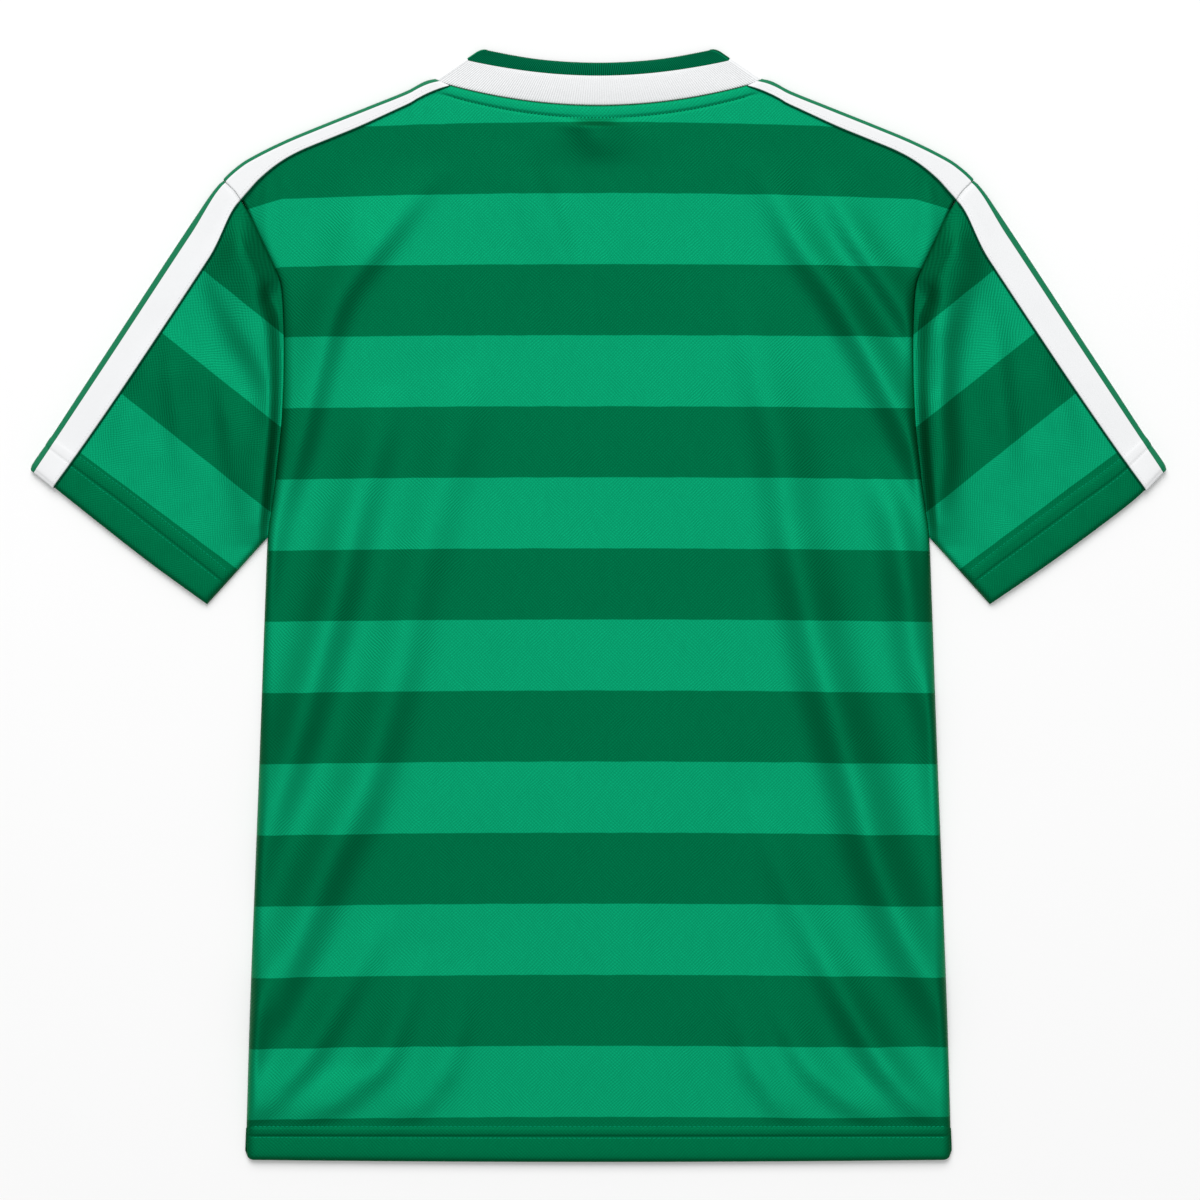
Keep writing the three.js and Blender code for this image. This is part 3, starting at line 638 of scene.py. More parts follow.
class NodeSketch:
    """A few short ways to add nodes to a tree and join them."""

    def __init__(self, tree: bpy.types.NodeTree) -> None:
        """Args: tree: The tree that the nodes go in."""
        self.tree = tree
        self.column = 0

    def add(self, kind: str, **settings: object) -> bpy.types.Node:
        """A node of a kind with its settings, to the right of the last."""
        node = self.tree.nodes.new(kind)
        node.location = (self.column * 190, 0)
        self.column += 1
        for name, value in settings.items():
            setattr(node, name, value)
        return node

    def feed(self, socket: Socket, value: object) -> None:
        """Joins a socket to a socket, or sets it to a value."""
        if isinstance(value, Socket):
            self.tree.links.new(value, socket)
        else:
            socket.default_value = value

    def math(self, operation: str, *values: object, clamp: bool = False) -> Socket:
        """The result of a Math node on sockets or numbers."""
        node = self.add("ShaderNodeMath", operation=operation, use_clamp=clamp)
        for socket, value in zip(node.inputs, values):
            self.feed(socket, value)
        return node.outputs[0]

    def linear(self, value: object, factor: object, offset: object, clamp: bool = False) -> Socket:
        """A value times a factor, plus an offset."""
        return self.math("MULTIPLY_ADD", value, factor, offset, clamp=clamp)

    def blend(self, factor: object, first: object, second: object) -> Socket:
        """The colour that a Mix node gives from two colours."""
        node = self.add("ShaderNodeMix", data_type="RGBA", clamp_factor=True)
        for socket, value in zip((node.inputs[0], node.inputs[6], node.inputs[7]), (factor, first, second)):
            self.feed(socket, value)
        return node.outputs[2]

    def shade(self, colour: object, scale: Socket) -> Socket:
        """A colour scaled by a shade."""
        node = self.add("ShaderNodeVectorMath", operation="SCALE")
        self.feed(node.inputs[0], colour)
        self.feed(node.inputs["Scale"], scale)
        return node.outputs[0]

    def noise(self, vector: Socket, scale: float, detail: float = 2.0) -> Socket:
        """The value of a noise texture."""
        node = self.add("ShaderNodeTexNoise")
        for name, value in (("Vector", vector), ("Scale", scale), ("Detail", detail)):
            self.feed(node.inputs[name], value)
        return node.outputs["Fac"]

    def across_and_along(self, place: Socket) -> tuple[Socket, Socket]:
        """The X and the Y of a place on the flat cloth."""
        split = self.add("ShaderNodeSeparateXYZ")
        self.feed(split.inputs[0], place)
        return split.outputs["X"], split.outputs["Y"]

    def cloth_place(self) -> Socket:
        """The place on the flat cloth, in metres, from the piece's UV map."""
        return self.add("ShaderNodeUVMap", uv_map=CLOTH_UV).outputs[0]


class EffectGroup:
    """A shader node group that several finishes share: it takes a place on the flat cloth, and values."""

    def __init__(self, name: str, inputs: Sequence[str], outputs: Sequence[str]) -> None:
        """Args:
            name: The group's name.
            inputs: The values that it takes besides the place.
            outputs: The values that it gives.
        """
        self.tree = bpy.data.node_groups.new(name, "ShaderNodeTree")
        self.tree.interface.new_socket(name="Place", in_out="INPUT", socket_type="NodeSocketVector")
        for way, names in (("INPUT", inputs), ("OUTPUT", outputs)):
            for socket in names:
                self.tree.interface.new_socket(name=socket, in_out=way, socket_type="NodeSocketFloat")
        self.sketch = NodeSketch(self.tree)
        self.inputs = self.sketch.add("NodeGroupInput").outputs
        self.results = self.sketch.add("NodeGroupOutput").inputs

    def give(self, **results: Socket) -> None:
        """Joins the group's results to its outputs."""
        for name, socket in results.items():
            self.sketch.feed(self.results[name], socket)

    def use(self, sketch: NodeSketch, **values: object) -> bpy.types.bpy_prop_collection:
        """Places the group in a material with its own values, and returns its outputs."""
        node = sketch.add("ShaderNodeGroup", node_tree=self.tree)
        for name, value in values.items():
            sketch.feed(node.inputs[name], value)
        return node.outputs


def build_hoops() -> EffectGroup:
    """Hoops across the cloth: a mask that is 1 on the light ones, with a knitted edge."""
    wander_size, wander_scale, edge_sharpness = 0.9 * MM, 60.0, 28.0
    group = EffectGroup("hoops", ["First", "Pitch"], ["Light"])
    sk, place = group.sketch, group.inputs["Place"]
    _, along = sk.across_and_along(place)
    wander = sk.math("MULTIPLY", sk.math("SUBTRACT", sk.noise(place, wander_scale), 0.5), wander_size)
    from_first = sk.math("SUBTRACT", sk.math("ADD", along, wander), group.inputs["First"])
    turns = sk.math("DIVIDE", from_first, group.inputs["Pitch"])
    wave = sk.math("SINE", sk.math("MULTIPLY", turns, math.pi))
    group.give(Light=sk.linear(wave, edge_sharpness, 0.5, clamp=True))
    return group


def build_twill() -> EffectGroup:
    """A fine diagonal crosshatch in the knit, stronger one way than the other, in patches."""
    wander_scale, wander_turns, patch_scale = 110.0, 9.0, 40.0
    group = EffectGroup("twill", ["Pitch"], ["Weave"])
    sk, place = group.sketch, group.inputs["Place"]
    across, along = sk.across_and_along(place)
    turn = sk.math("DIVIDE", 2 * math.pi, group.inputs["Pitch"])
    wander = sk.math("MULTIPLY", sk.noise(place, wander_scale, 1.0), wander_turns)
    patches = sk.linear(sk.noise(place, patch_scale, 1.0), 2.6, -0.85, clamp=True)
    ridges = [
        sk.math("MULTIPLY", sk.math("SINE", sk.linear(sk.math(way, across, along), turn, wander)), strength)
        for way, strength in (
            ("SUBTRACT", sk.linear(patches, -0.65, 0.95)),
            ("ADD", sk.linear(patches, 0.6, 0.2)),
        )
    ]
    group.give(Weave=sk.math("ADD", *ridges))
    return group


def build_border() -> EffectGroup:
    """A border along a tape: a mask that is 1 from the map's zero line to the border's width."""
    sharpness = 1 / (0.12 * MM)
    group = EffectGroup("border", ["Width"], ["Mask"])
    sk = group.sketch
    across, _ = sk.across_and_along(group.inputs["Place"])
    left = sk.math("SUBTRACT", group.inputs["Width"], across)
    edges = [sk.linear(distance, sharpness, 0.5, clamp=True) for distance in (across, left)]
    group.give(Mask=sk.math("MULTIPLY", *edges))
    return group


def build_mottle() -> EffectGroup:
    """Slow unevenness of a dyed cloth, from -1 to 1, with some grain."""
    broad_scale, grain_scale, grain_share = 9.0, 900.0, 0.5
    group = EffectGroup("mottle", [], ["Shade"])
    sk, place = group.sketch, group.inputs["Place"]
    broad = sk.linear(sk.noise(place, broad_scale, 3.0), 2.0, -1.0)
    grain = sk.linear(sk.noise(place, grain_scale, 1.0), 2.0, -1.0)
    group.give(Shade=sk.linear(grain, grain_share, broad))
    return group


def build_rib() -> EffectGroup:
    """The loops of a knitted rib: small Vs down each wale."""
    course_height, loop_share = 0.9 * MM, 0.08
    group = EffectGroup("rib_loops", ["Pitch"], ["Height", "Furrow"])
    sk = group.sketch
    across, along = sk.across_and_along(group.inputs["Place"])
    wale = sk.math("DIVIDE", across, group.inputs["Pitch"])
    furrow = sk.math("COSINE", sk.math("MULTIPLY", wale, 2 * math.pi))
    course = sk.math("ADD", sk.math("DIVIDE", along, course_height), sk.math("PINGPONG", wale, 0.5))
    loops = sk.math("SINE", sk.math("MULTIPLY", course, 2 * math.pi))
    group.give(Height=sk.linear(loops, loop_share, furrow), Furrow=furrow)
    return group


class Effects:
    """The shared effects, each built once."""

    def __init__(self) -> None:
        """Builds the node groups."""
        self.hoops = build_hoops()
        self.twill = build_twill()
        self.mottle = build_mottle()
        self.rib = build_rib()
        self.border = build_border()


WHITE: Colour = (0.84, 0.848, 0.857, 1)
DEEP_GREEN: Colour = (0.0004, 0.178, 0.073, 1)
# The piping's green is partly its own colour and partly painted shadow: much darker than the trim green, it
# stands for the shadow line along each tape's inner edge.
CORD_GREEN_AND_EDGE_SHADOW: Colour = (0.0005, 0.045, 0.018, 1)
# The hem thread's green is partly its own colour and partly painted highlight: lighter than the dark hem, it
# stands for the shine on the stitches.
HEM_THREAD_AND_HIGHLIGHT: Colour = (0.002, 0.27, 0.13, 1)
# The neck thread's green is partly its own colour and partly painted shade: darker than the cloth, it stands
# for the shade in the stitch holes.
NECK_THREAD_AND_HOLE_SHADE: Colour = (0.0003, 0.085, 0.032, 1)
GREEN_TINT: Colour = (0.02, 0.9, 0.5, 1)
PLAIN: Colour = (1, 1, 1, 1)
RIB_PITCH = 1.75


@dataclass(frozen=True)
class Gloss:
    """How a cloth shines, the same all over.

    Attributes:
        tint: The colour of its sheen and highlights.
        specular: How strong its highlights are.
        sheen: How strong its sheen is.
        metallic: How far its highlights take its own colour.
    """

    tint: Colour
    specular: float
    sheen: float = 0.02
    metallic: float = 0.0

    def dress(self, shader: bpy.types.Node) -> None:
        """Sets the gloss on the shader's own sockets."""
        for name, value in (
            ("Metallic", self.metallic),
            ("Sheen Weight", self.sheen),
            ("Sheen Roughness", 0.4),
            ("Sheen Tint", self.tint),
            ("Specular IOR Level", self.specular),
            ("Specular Tint", self.tint),
        ):
            shader.inputs[name].default_value = value


def start_material(name: str) -> tuple[bpy.types.Material, NodeSketch, bpy.types.Node]:
    """An empty node material with its Principled BSDF.

    Returns:
        The material, a sketch of its nodes and the shader.
    """
    material = bpy.data.materials.new(name)
    material.use_nodes = True
    material.node_tree.nodes.clear()
    sketch = NodeSketch(material.node_tree)
    shader = sketch.add("ShaderNodeBsdfPrincipled")
    output = sketch.add("ShaderNodeOutputMaterial")
    sketch.feed(output.inputs[0], shader.outputs[0])
    return material, sketch, shader


def finish_cloth(
    sketch: NodeSketch,
    shader: bpy.types.Node,
    colour: Socket,
    roughness: Socket,
    relief: tuple[Socket, float],
) -> None:
    """Joins what changes over a cloth to its shader.

    Args:
        sketch: The material's nodes.
        shader: Its shader.
        colour: The shaded colour.
        roughness: The roughness.
        relief: The weave's height, and its depth in millimetres.
    """
    bump = sketch.add("ShaderNodeBump")
    height, depth = relief
    bump.inputs["Distance"].default_value = depth * MM
    sketch.feed(bump.inputs["Height"], height)
    for name, socket in (("Base Color", colour), ("Roughness", roughness), ("Normal", bump.outputs[0])):
        sketch.feed(shader.inputs[name], socket)


@dataclass(frozen=True)
class HoopedKnit:
    """Satin polyester knit with hoops in two greens, darkened by painted shade where the cloth turns away
    from the view.

    Attributes:
        name: The material's name.
        first: The first hoop's distance from the hem's edge.
        dark, light: The hoops' colours.
        painted_shade_colour: The painted shade: what the colour is multiplied by where the cloth turns away
            from the view.
        painted_shade_blend, painted_shade_reach: How soon and how far the painted shade darkens it.
        twill_pitch: The step between the twill's ridges.
        twill_shade, mottle_shade: How far the twill and the dye's unevenness change the colour.
        gloss: How it shines.
    """

    name: str = "hooped_knit"
    first: float = HOOP_FIRST
    dark: Colour = (0.0002, 0.129, 0.048, 1)
    light: Colour = (0.0022, 0.285, 0.127, 1)
    painted_shade_colour: Colour = (0.2, 0.4, 0.25, 1)
    painted_shade_blend: float = 0.9
    painted_shade_reach: float = 0.62
    twill_pitch: float = 2.5
    twill_shade: float = 0.13
    mottle_shade: float = 0.04
    gloss: Gloss = Gloss(GREEN_TINT, 0.1, sheen=0.0, metallic=0.4)

    def build(self, effects: Effects) -> bpy.types.Material:
        """The material, whose pattern follows the cloth's UV map."""
        material, sketch, shader = start_material(self.name)
        place = sketch.cloth_place()
        light = effects.hoops.use(sketch, Place=place, First=self.first * MM, Pitch=HOOP_PITCH * MM)["Light"]
        weave = effects.twill.use(sketch, Place=place, Pitch=self.twill_pitch * MM)["Weave"]
        mottle = effects.mottle.use(sketch, Place=place)["Shade"]
        shade = sketch.linear(mottle, self.mottle_shade, sketch.linear(weave, self.twill_shade, 1.0))
        shaded = sketch.shade(sketch.blend(light, self.dark, self.light), shade)
        # Painted shade: the colour is multiplied towards a deep green where the surface turns away from the
        # view, standing in for shading on the folds' slopes.
        facing = sketch.add("ShaderNodeLayerWeight")
        facing.inputs["Blend"].default_value = self.painted_shade_blend
        turned = sketch.math("MULTIPLY", facing.outputs["Facing"], self.painted_shade_reach, clamp=True)
        with_painted_shade = sketch.add("ShaderNodeVectorMath", operation="MULTIPLY")
        sketch.feed(with_painted_shade.inputs[0], shaded)
        sketch.feed(with_painted_shade.inputs[1], sketch.blend(turned, PLAIN, self.painted_shade_colour))
        finish_cloth(sketch, shader, with_painted_shade.outputs[0], sketch.linear(weave, 0.03, 0.5), (weave, 0.06))
        self.gloss.dress(shader)
        return material


@dataclass(frozen=True)
class RibKnit:
    """A knitted rib in one colour.

    Attributes:
        name: The material's name.
        colour: Its colour.
        furrow_shade: How far painted shade darkens its furrows.
        gloss: How it shines.
    """

    name: str
    colour: Colour
    furrow_shade: float
    gloss: Gloss

    def build(self, effects: Effects) -> bpy.types.Material:
        """The material, whose wales follow the ribs."""
        material, sketch, shader = start_material(self.name)
        place = sketch.cloth_place()
        rib = effects.rib.use(sketch, Place=place, Pitch=RIB_PITCH * MM)
        mottle = effects.mottle.use(sketch, Place=place)["Shade"]
        # Painted shade: the colour is darker along each furrow between the ribs.
        painted_furrow_shade = sketch.linear(rib["Furrow"], self.furrow_shade, 1.0 - self.furrow_shade)
        shaded = sketch.shade(self.colour[:3], sketch.linear(mottle, 0.02, painted_furrow_shade))
        finish_cloth(sketch, shader, shaded, sketch.linear(rib["Furrow"], -0.06, 0.72), (rib["Height"], 0.03))
        self.gloss.dress(shader)
        return material


@dataclass(frozen=True)
class WovenTape:
    """A smooth, closely woven tape or thread.

    Attributes:
        name: The material's name.
        colour: Its colour.
        gloss: How it shines.
        ridge_pitch: The step between its ridges.
        border: The colour of a border along it, if it has one.
        border_width: The border's width.
        border_sunk: How far the border's weave lies below the rest, in ridges.
    """

    name: str
    colour: Colour
    gloss: Gloss
    ridge_pitch: float = 0.6
    border: Colour | None = None
    border_width: float = 7.4
    border_sunk: float = 6.0

    def build(self, effects: Effects) -> bpy.types.Material:
        """The material, with fine cross ridges."""
        material, sketch, shader = start_material(self.name)
        place = sketch.cloth_place()
        height = effects.twill.use(sketch, Place=place, Pitch=self.ridge_pitch * MM)["Weave"]
        mottle = effects.mottle.use(sketch, Place=place)["Shade"]
        colour = self.colour[:3]
        if self.border:
            mask = effects.border.use(sketch, Place=place, Width=self.border_width * MM)["Mask"]
            colour = sketch.blend(mask, self.colour, self.border)
            height = sketch.linear(mask, -self.border_sunk, height)
        shaded = sketch.shade(colour, sketch.linear(mottle, 0.02, 0.98))
        finish_cloth(sketch, shader, shaded, sketch.linear(mottle, 0.04, 0.6), (height, 0.02))
        self.gloss.dress(shader)
        return material


class Wardrobe:
    """Every finish on the jersey."""

    def __init__(self) -> None:
        """Builds the materials."""
        effects = Effects()
        rib_gloss, tape_gloss, thread_pitch = 0.15, 0.2, 0.3
        white, green = Gloss(PLAIN, tape_gloss), Gloss(GREEN_TINT, tape_gloss)
        self.body_knit = HoopedKnit().build(effects)
        self.sleeve_knit = HoopedKnit("hooped_sleeve_knit", CUFF_HOOP_FIRST).build(effects)
        self.white_rib = RibKnit("white_rib", WHITE, 0.07, Gloss(PLAIN, rib_gloss)).build(effects)
        self.green_rib = RibKnit("green_rib", DEEP_GREEN, 0.38, Gloss(GREEN_TINT, rib_gloss)).build(effects)
        self.white_tape = WovenTape("white_tape", WHITE, white, border=DEEP_GREEN).build(effects)
        # Partly painted shadow: the dark piping stands for the shadow line along each tape's inner edge.
        self.piping = WovenTape("green_piping", CORD_GREEN_AND_EDGE_SHADOW, green).build(effects)
        # Partly painted highlight: the light hem thread stands for the shine on the stitches.
        self.hem_thread_and_highlight = WovenTape("hem_thread_and_highlight", HEM_THREAD_AND_HIGHLIGHT, green, thread_pitch).build(effects)
        # Partly painted shade: the dark neck thread stands for the shade in the stitch holes.
        self.neck_thread_and_hole_shade = WovenTape("neck_thread_and_hole_shade", NECK_THREAD_AND_HOLE_SHADE, green, thread_pitch).build(effects)
        self.white_thread = WovenTape("white_thread", WHITE, white, thread_pitch).build(effects)


@dataclass(frozen=True)
class Stitch:
    """One stitch: its length, the step to the next, and its thread's radius."""

    length: float
    pitch: float
    radius: float


HEM_STITCH = Stitch(2.3, 3.1, 0.36)
NECK_STITCH = Stitch(1.7, 2.5, 0.34)
TAPE_STITCH = Stitch(2.0, 2.6, 0.2)


def sew(
    name: str,
    rows: Iterable[Sequence[Vector]],
    stitch: Stitch,
    thread: bpy.types.Material,
) -> bpy.types.Object:
    """Makes rows of lockstitch one piece, each stitch a short rounded thread.

    Args:
        name: The piece's name.
        rows: The path of each row, in metres.
        stitch: The stitch.
        thread: The thread's finish.

    Returns:
        The stitches.
    """
    bm = bmesh.new()
    size = Matrix.Diagonal((stitch.radius * MM, stitch.radius * MM, stitch.length / 2 * MM, 1))
    for path in rows:
        travelled, due = 0.0, stitch.pitch * MM
        for before, after in zip(path, path[1:]):
            step = after - before
            turn = step.normalized().to_track_quat("Z", "Y").to_matrix().to_4x4()
            while travelled + step.length >= due:
                middle = Matrix.Translation(before + step * ((due - travelled) / step.length))
                bmesh.ops.create_uvsphere(
                    bm, u_segments=6, v_segments=4, radius=1, matrix=middle @ turn @ size
                )
                due += stitch.pitch * MM
            travelled += step.length
    piece = make_object(name, bm, thread)
    return piece


@dataclass
class BodyPanel:
    """What the front and the back share: the outline, and how a grid covers it.

    Attributes:
        table: Where the garment lies.
        steps: The number of grid steps across.
        hem: The turned hem.
        thickness: The cloth's thickness.
    """

    table: Table
    steps: int = 150
    hem: HemShape = HemShape(17.0, 23.8)
    thickness: float = 0.8

    def half(self, up: float) -> float:
        """Half the panel's width at a height."""
        return SIDE_LINE.at(up)

    def top(self, x: float) -> float:
        """The height of the panel's top edge at a distance from the centre."""
        raise NotImplementedError

    def point(self, u: float, up: float) -> tuple[float, float, float, float]:
        """A point of the lying outline.

        Args:
            u: From side to side, -1 to 1.
            up: The height of the row at the sides.

        Returns:
            The point's x and y, and its distances from the side and from the top edge.
        """
        share = up / SHOULDER_END_UP
        half = self.half(up)
        lift = (self.top(u * self.half(SHOULDER_END_UP)) - SHOULDER_END_UP) * smooth(share, LIFT_FROM, 1)
        from_side = (1 - abs(u)) * half
        corner = HEM_CORNER * (1 - quarter_round(from_side, HEM_CORNER))
        hem = (HEM_BOW * u * u + corner) * (1 - smooth(up, 0, self.hem.upper))
        return u * half, up + lift + hem, from_side, SHOULDER_END_UP - up

    def hoop_place(self, x: float, y: float) -> tuple[float, float]:
        """The place on the flat cloth, which lets the hoops bow as the cloth lies."""
        out = abs(x)
        bow = (out / HOOP_BOW_OUT) ** 2 * (HOOP_BOW + HOOP_BOW_AT_SHOULDER * smooth(y, 600, 727))
        past_crease = HOOP_PAST_CREASE * max(0.0, out - CREASE_OUT) * smooth(y, 600, 640)
        corner = HOOP_CORNER_DROP * smooth(x, 150, 245) * (1 - smooth(y, 0, 170))
        return x * MM, (y + bow + past_crease - corner) * MM

    def pattern(self, u: float, row: Row) -> tuple[float, float]:
        """A grid point's place on the flat cloth."""
        x, y, _, _ = self.point(u, row.along)
        across, along = self.hoop_place(x, y)
        return across, along - row.reach * MM

    def grid_rows(self) -> list[Row]:
        """The rows of the grid, from the hidden end of the hem to the top edge."""
        heights = evenly(40, 0, 30)[:-1] + evenly(128, 30, 664)[:-1] + evenly(32, 664, SHOULDER_END_UP)
        return hem_rows(self.hem.upper, self.hem.radius) + [Row(up) for up in heights]


@dataclass
class Back(BodyPanel):
    """The back, which shows: it rolls down at its sides and lies over the sleeves' ends.

    Attributes:
        strip_depth, strip_rise: The rounded strip along the neck seam.
        strip_furrow, strip_sewn: How far its stitches pull the cloth down, and how far below it they lie.
        side_roll, seam_roll, neck_roll, shoulder_roll: How wide the cloth rolls down at each edge.
        neck_foot, shoulder_foot: How high its top edge ends.
        side_feet: How high its side edge ends: rows of up and height.
        slack: How steeply it sinks past the crease beside the armhole.
        lowest: The lowest that its face lies inside its edges.
        stitch_lift: How high the stitches lie on it.
        drape: Its folds.
    """

    strip_depth: float = 8.2
    strip_rise: float = 0.75
    strip_furrow: float = 0.45
    strip_sewn: float = 0.3
    side_roll: float = 7.0
    seam_roll: float = 3.5
    neck_roll: float = 1.2
    shoulder_roll: float = 3.5
    neck_foot: float = 4.5
    shoulder_foot: float = 3.4
    side_feet: Curve = field(
        default_factory=lambda: Curve((0, 1.75), (424, 1.75), (440, 3.6), (606, 3.6), (620, 3.3), (687, 3.3))
    )
    slack: float = 0.075
    lowest: float = 3.5
    stitch_lift: float = 0.06
    drape: Drape = field(default_factory=lambda: Drape(BACK_FOLDS, 0.5, 3.0))

    def top(self, x: float) -> float:
        """The neck seam, and then the shoulder, which stops inside the tape."""
        out = abs(x)
        return back_neck_up(x) if out < NECK_HALF else min(NECK_CORNER_UP, TOP_LINE.at(out + 0.85) - 1.7)

    def strip_relief(self, from_top: float) -> float:
        """The rounded strip along the neck seam, with its row of stitches."""
        across = (from_top - self.strip_depth / 2) / (self.strip_depth / 2)
        strip = self.strip_rise * math.sqrt(max(0.0, 1 - across * across))
        return strip - self.strip_furrow * hump(from_top - self.strip_depth - self.strip_sewn, 1.0)

    def height(self, x: float, y: float, up: float, from_side: float, from_top: float) -> float:
        """The height of the outer face."""
        out = abs(x)
        is_neck = out < NECK_HALF
        is_sewn = smooth(up, TUCK_TOP_UP, TUCK_TOP_UP + 8)
        near_side = from_top / (from_top + from_side + 1e-6)
        foot = mix(self.neck_foot if is_neck else self.shoulder_foot, self.side_feet.straight(up), near_side)
        folds = self.drape.height(x, y) * mix(0.2, 1, smooth(up, 14, 34))
        folds *= mix(0.15, 1, smooth(from_top, 6, mix(17, 26, smooth(out, 70, 100))))
        slack = self.slack * max(0.0, out - CREASE_OUT) * smooth(y, 598, 630) * smooth(from_top, 3, 18)
        rest = mix(BACK_HEM, BACK_REST, smooth(up, 24, 80)) + folds - slack + self.hem.relief(up)
        rest = max(rest, self.lowest)
        side_lift = quarter_round(from_side, mix(self.side_roll, self.seam_roll, is_sewn))
        lift = side_lift * quarter_round(from_top, self.neck_roll if is_neck else self.shoulder_roll)
        fade = 1 - smooth(out, NECK_HALF - 5, NECK_HALF)
        return foot + (rest - foot) * lift + self.strip_relief(from_top) * fade

    def on_face(self, u: float, up: float, lift: float = 0.0) -> Vector:
        """A point of the outer face in the frame."""
        x, y, from_side, from_top = self.point(u, up)
        return self.table.place(x, y, self.height(x, y, up, from_side, from_top) + lift)

    def place(self, u: float, row: Row) -> Vector:
        """A grid point: the outer face, or the turned hem behind it."""
        outer = self.on_face(u, row.along)
        sunk = max(outer.z - row.inset * MM, min(outer.z, (FRONT_LAYER + 0.4) * MM))
        return Vector((outer.x, outer.y - row.reach * MM, sunk))

    def build(self, wardrobe: Wardrobe) -> bpy.types.Object:
        """Makes the back and its stitches."""
        columns = closer_at_ends(self.steps, -1, 1, 0.55)
        grid = shape_grid(columns, self.grid_rows(), self.place, self.pattern)
        piece = make_cloth("back_cloth", grid, wardrobe.body_knit, self.thickness)
        shares = evenly(240, -0.985, 0.985)
        hems = ([self.on_face(u, up, self.stitch_lift) for u in shares] for up in self.hem.sewn_at)
        hem_stitches = sew("hem_stitches", hems, HEM_STITCH, wardrobe.hem_thread_and_highlight)
        neck = (NECK_HALF - 5) / self.half(SHOULDER_END_UP)
        strip_up = SHOULDER_END_UP - self.strip_depth - self.strip_sewn
        strip = [self.on_face(u * neck, strip_up, self.stitch_lift) for u in shares]
        neck_stitches = sew("neck_stitches", [strip], NECK_STITCH, wardrobe.neck_thread_and_hole_shade)
        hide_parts("back_panel")
        return piece


@dataclass
class Front(BodyPanel):
    """The front, which the jersey lies on: flat, turned up at its sides to meet the back.

    Attributes:
        leg_end, leg_clear: Where the cloth has come down again from over a shoulder tape's leg.
        leg_height: How high it lies over that leg.
        side_turn, side_height: How wide and how high its sides turn up.
        hem_rise: How high the hem's turned-in end lies.
    """

    steps: int = 80
    leg_end: float = 19.8
    leg_clear: float = 7.0
    leg_height: float = 1.3
    side_turn: float = 2.5
    side_height: float = 1.55
    hem_rise: float = 1.5

    def half(self, up: float) -> float:
        """Half the width, which stops short of the sleeve above the underarm."""
        return mix(SIDE_LINE.at(up), SLEEVE_END.at(up) - 0.9, smooth(up, UNDERARM_UP - 6, UNDERARM_UP + 5))

    def top(self, x: float) -> float:
        """The front's neck seam, and then its shoulder."""
        out = abs(x)
        return front_neck_up(x) if out < NECK_HALF else min(NECK_CORNER_UP, TOP_LINE.at(out + 1.5) - 3.1)

    def place(self, u: float, row: Row) -> Vector:
        """A grid point of the face that lies on the surface, or of its turned hem."""
        x, y, from_side, from_top = self.point(u, row.along)
        turned = self.side_height * (1 - quarter_round(from_side, self.side_turn))
        turned *= 1 - smooth(row.along, UNDERARM_UP - 10, UNDERARM_UP)
        is_shoulder = smooth(abs(x), NECK_HALF - 1, NECK_HALF)
        down = smooth(from_top, self.leg_end, self.leg_end + self.leg_clear)
        over_leg = self.leg_height * (1 - down) * is_shoulder
        rise = min(row.inset, max(0.0, self.hem_rise - turned))
        return self.table.place(x, y - row.reach, turned + over_leg + rise)

    def build(self, wardrobe: Wardrobe) -> bpy.types.Object:
        """Makes the front."""
        columns = closer_at_ends(self.steps, -1, 1, 0.7)
        grid = shape_grid(columns, self.grid_rows(), self.place, self.pattern)
        piece = make_cloth("front_cloth", grid, wardrobe.body_knit, self.thickness, -UP)
        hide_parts("front_panel")
        return piece


@dataclass(frozen=True)
class Around:
    """A column of a sleeve or tape: its place round the flattened tube.

    Attributes:
        share: From the underarm, 0, to the middle of the fold, 1.
        angle: Round the fold, in degrees: 90 on top, -90 underneath.
        length: The distance round the cloth from the underarm seam, for the sleeve's pattern.
    """

    share: float
    angle: float = 90.0
    length: float = 0.0


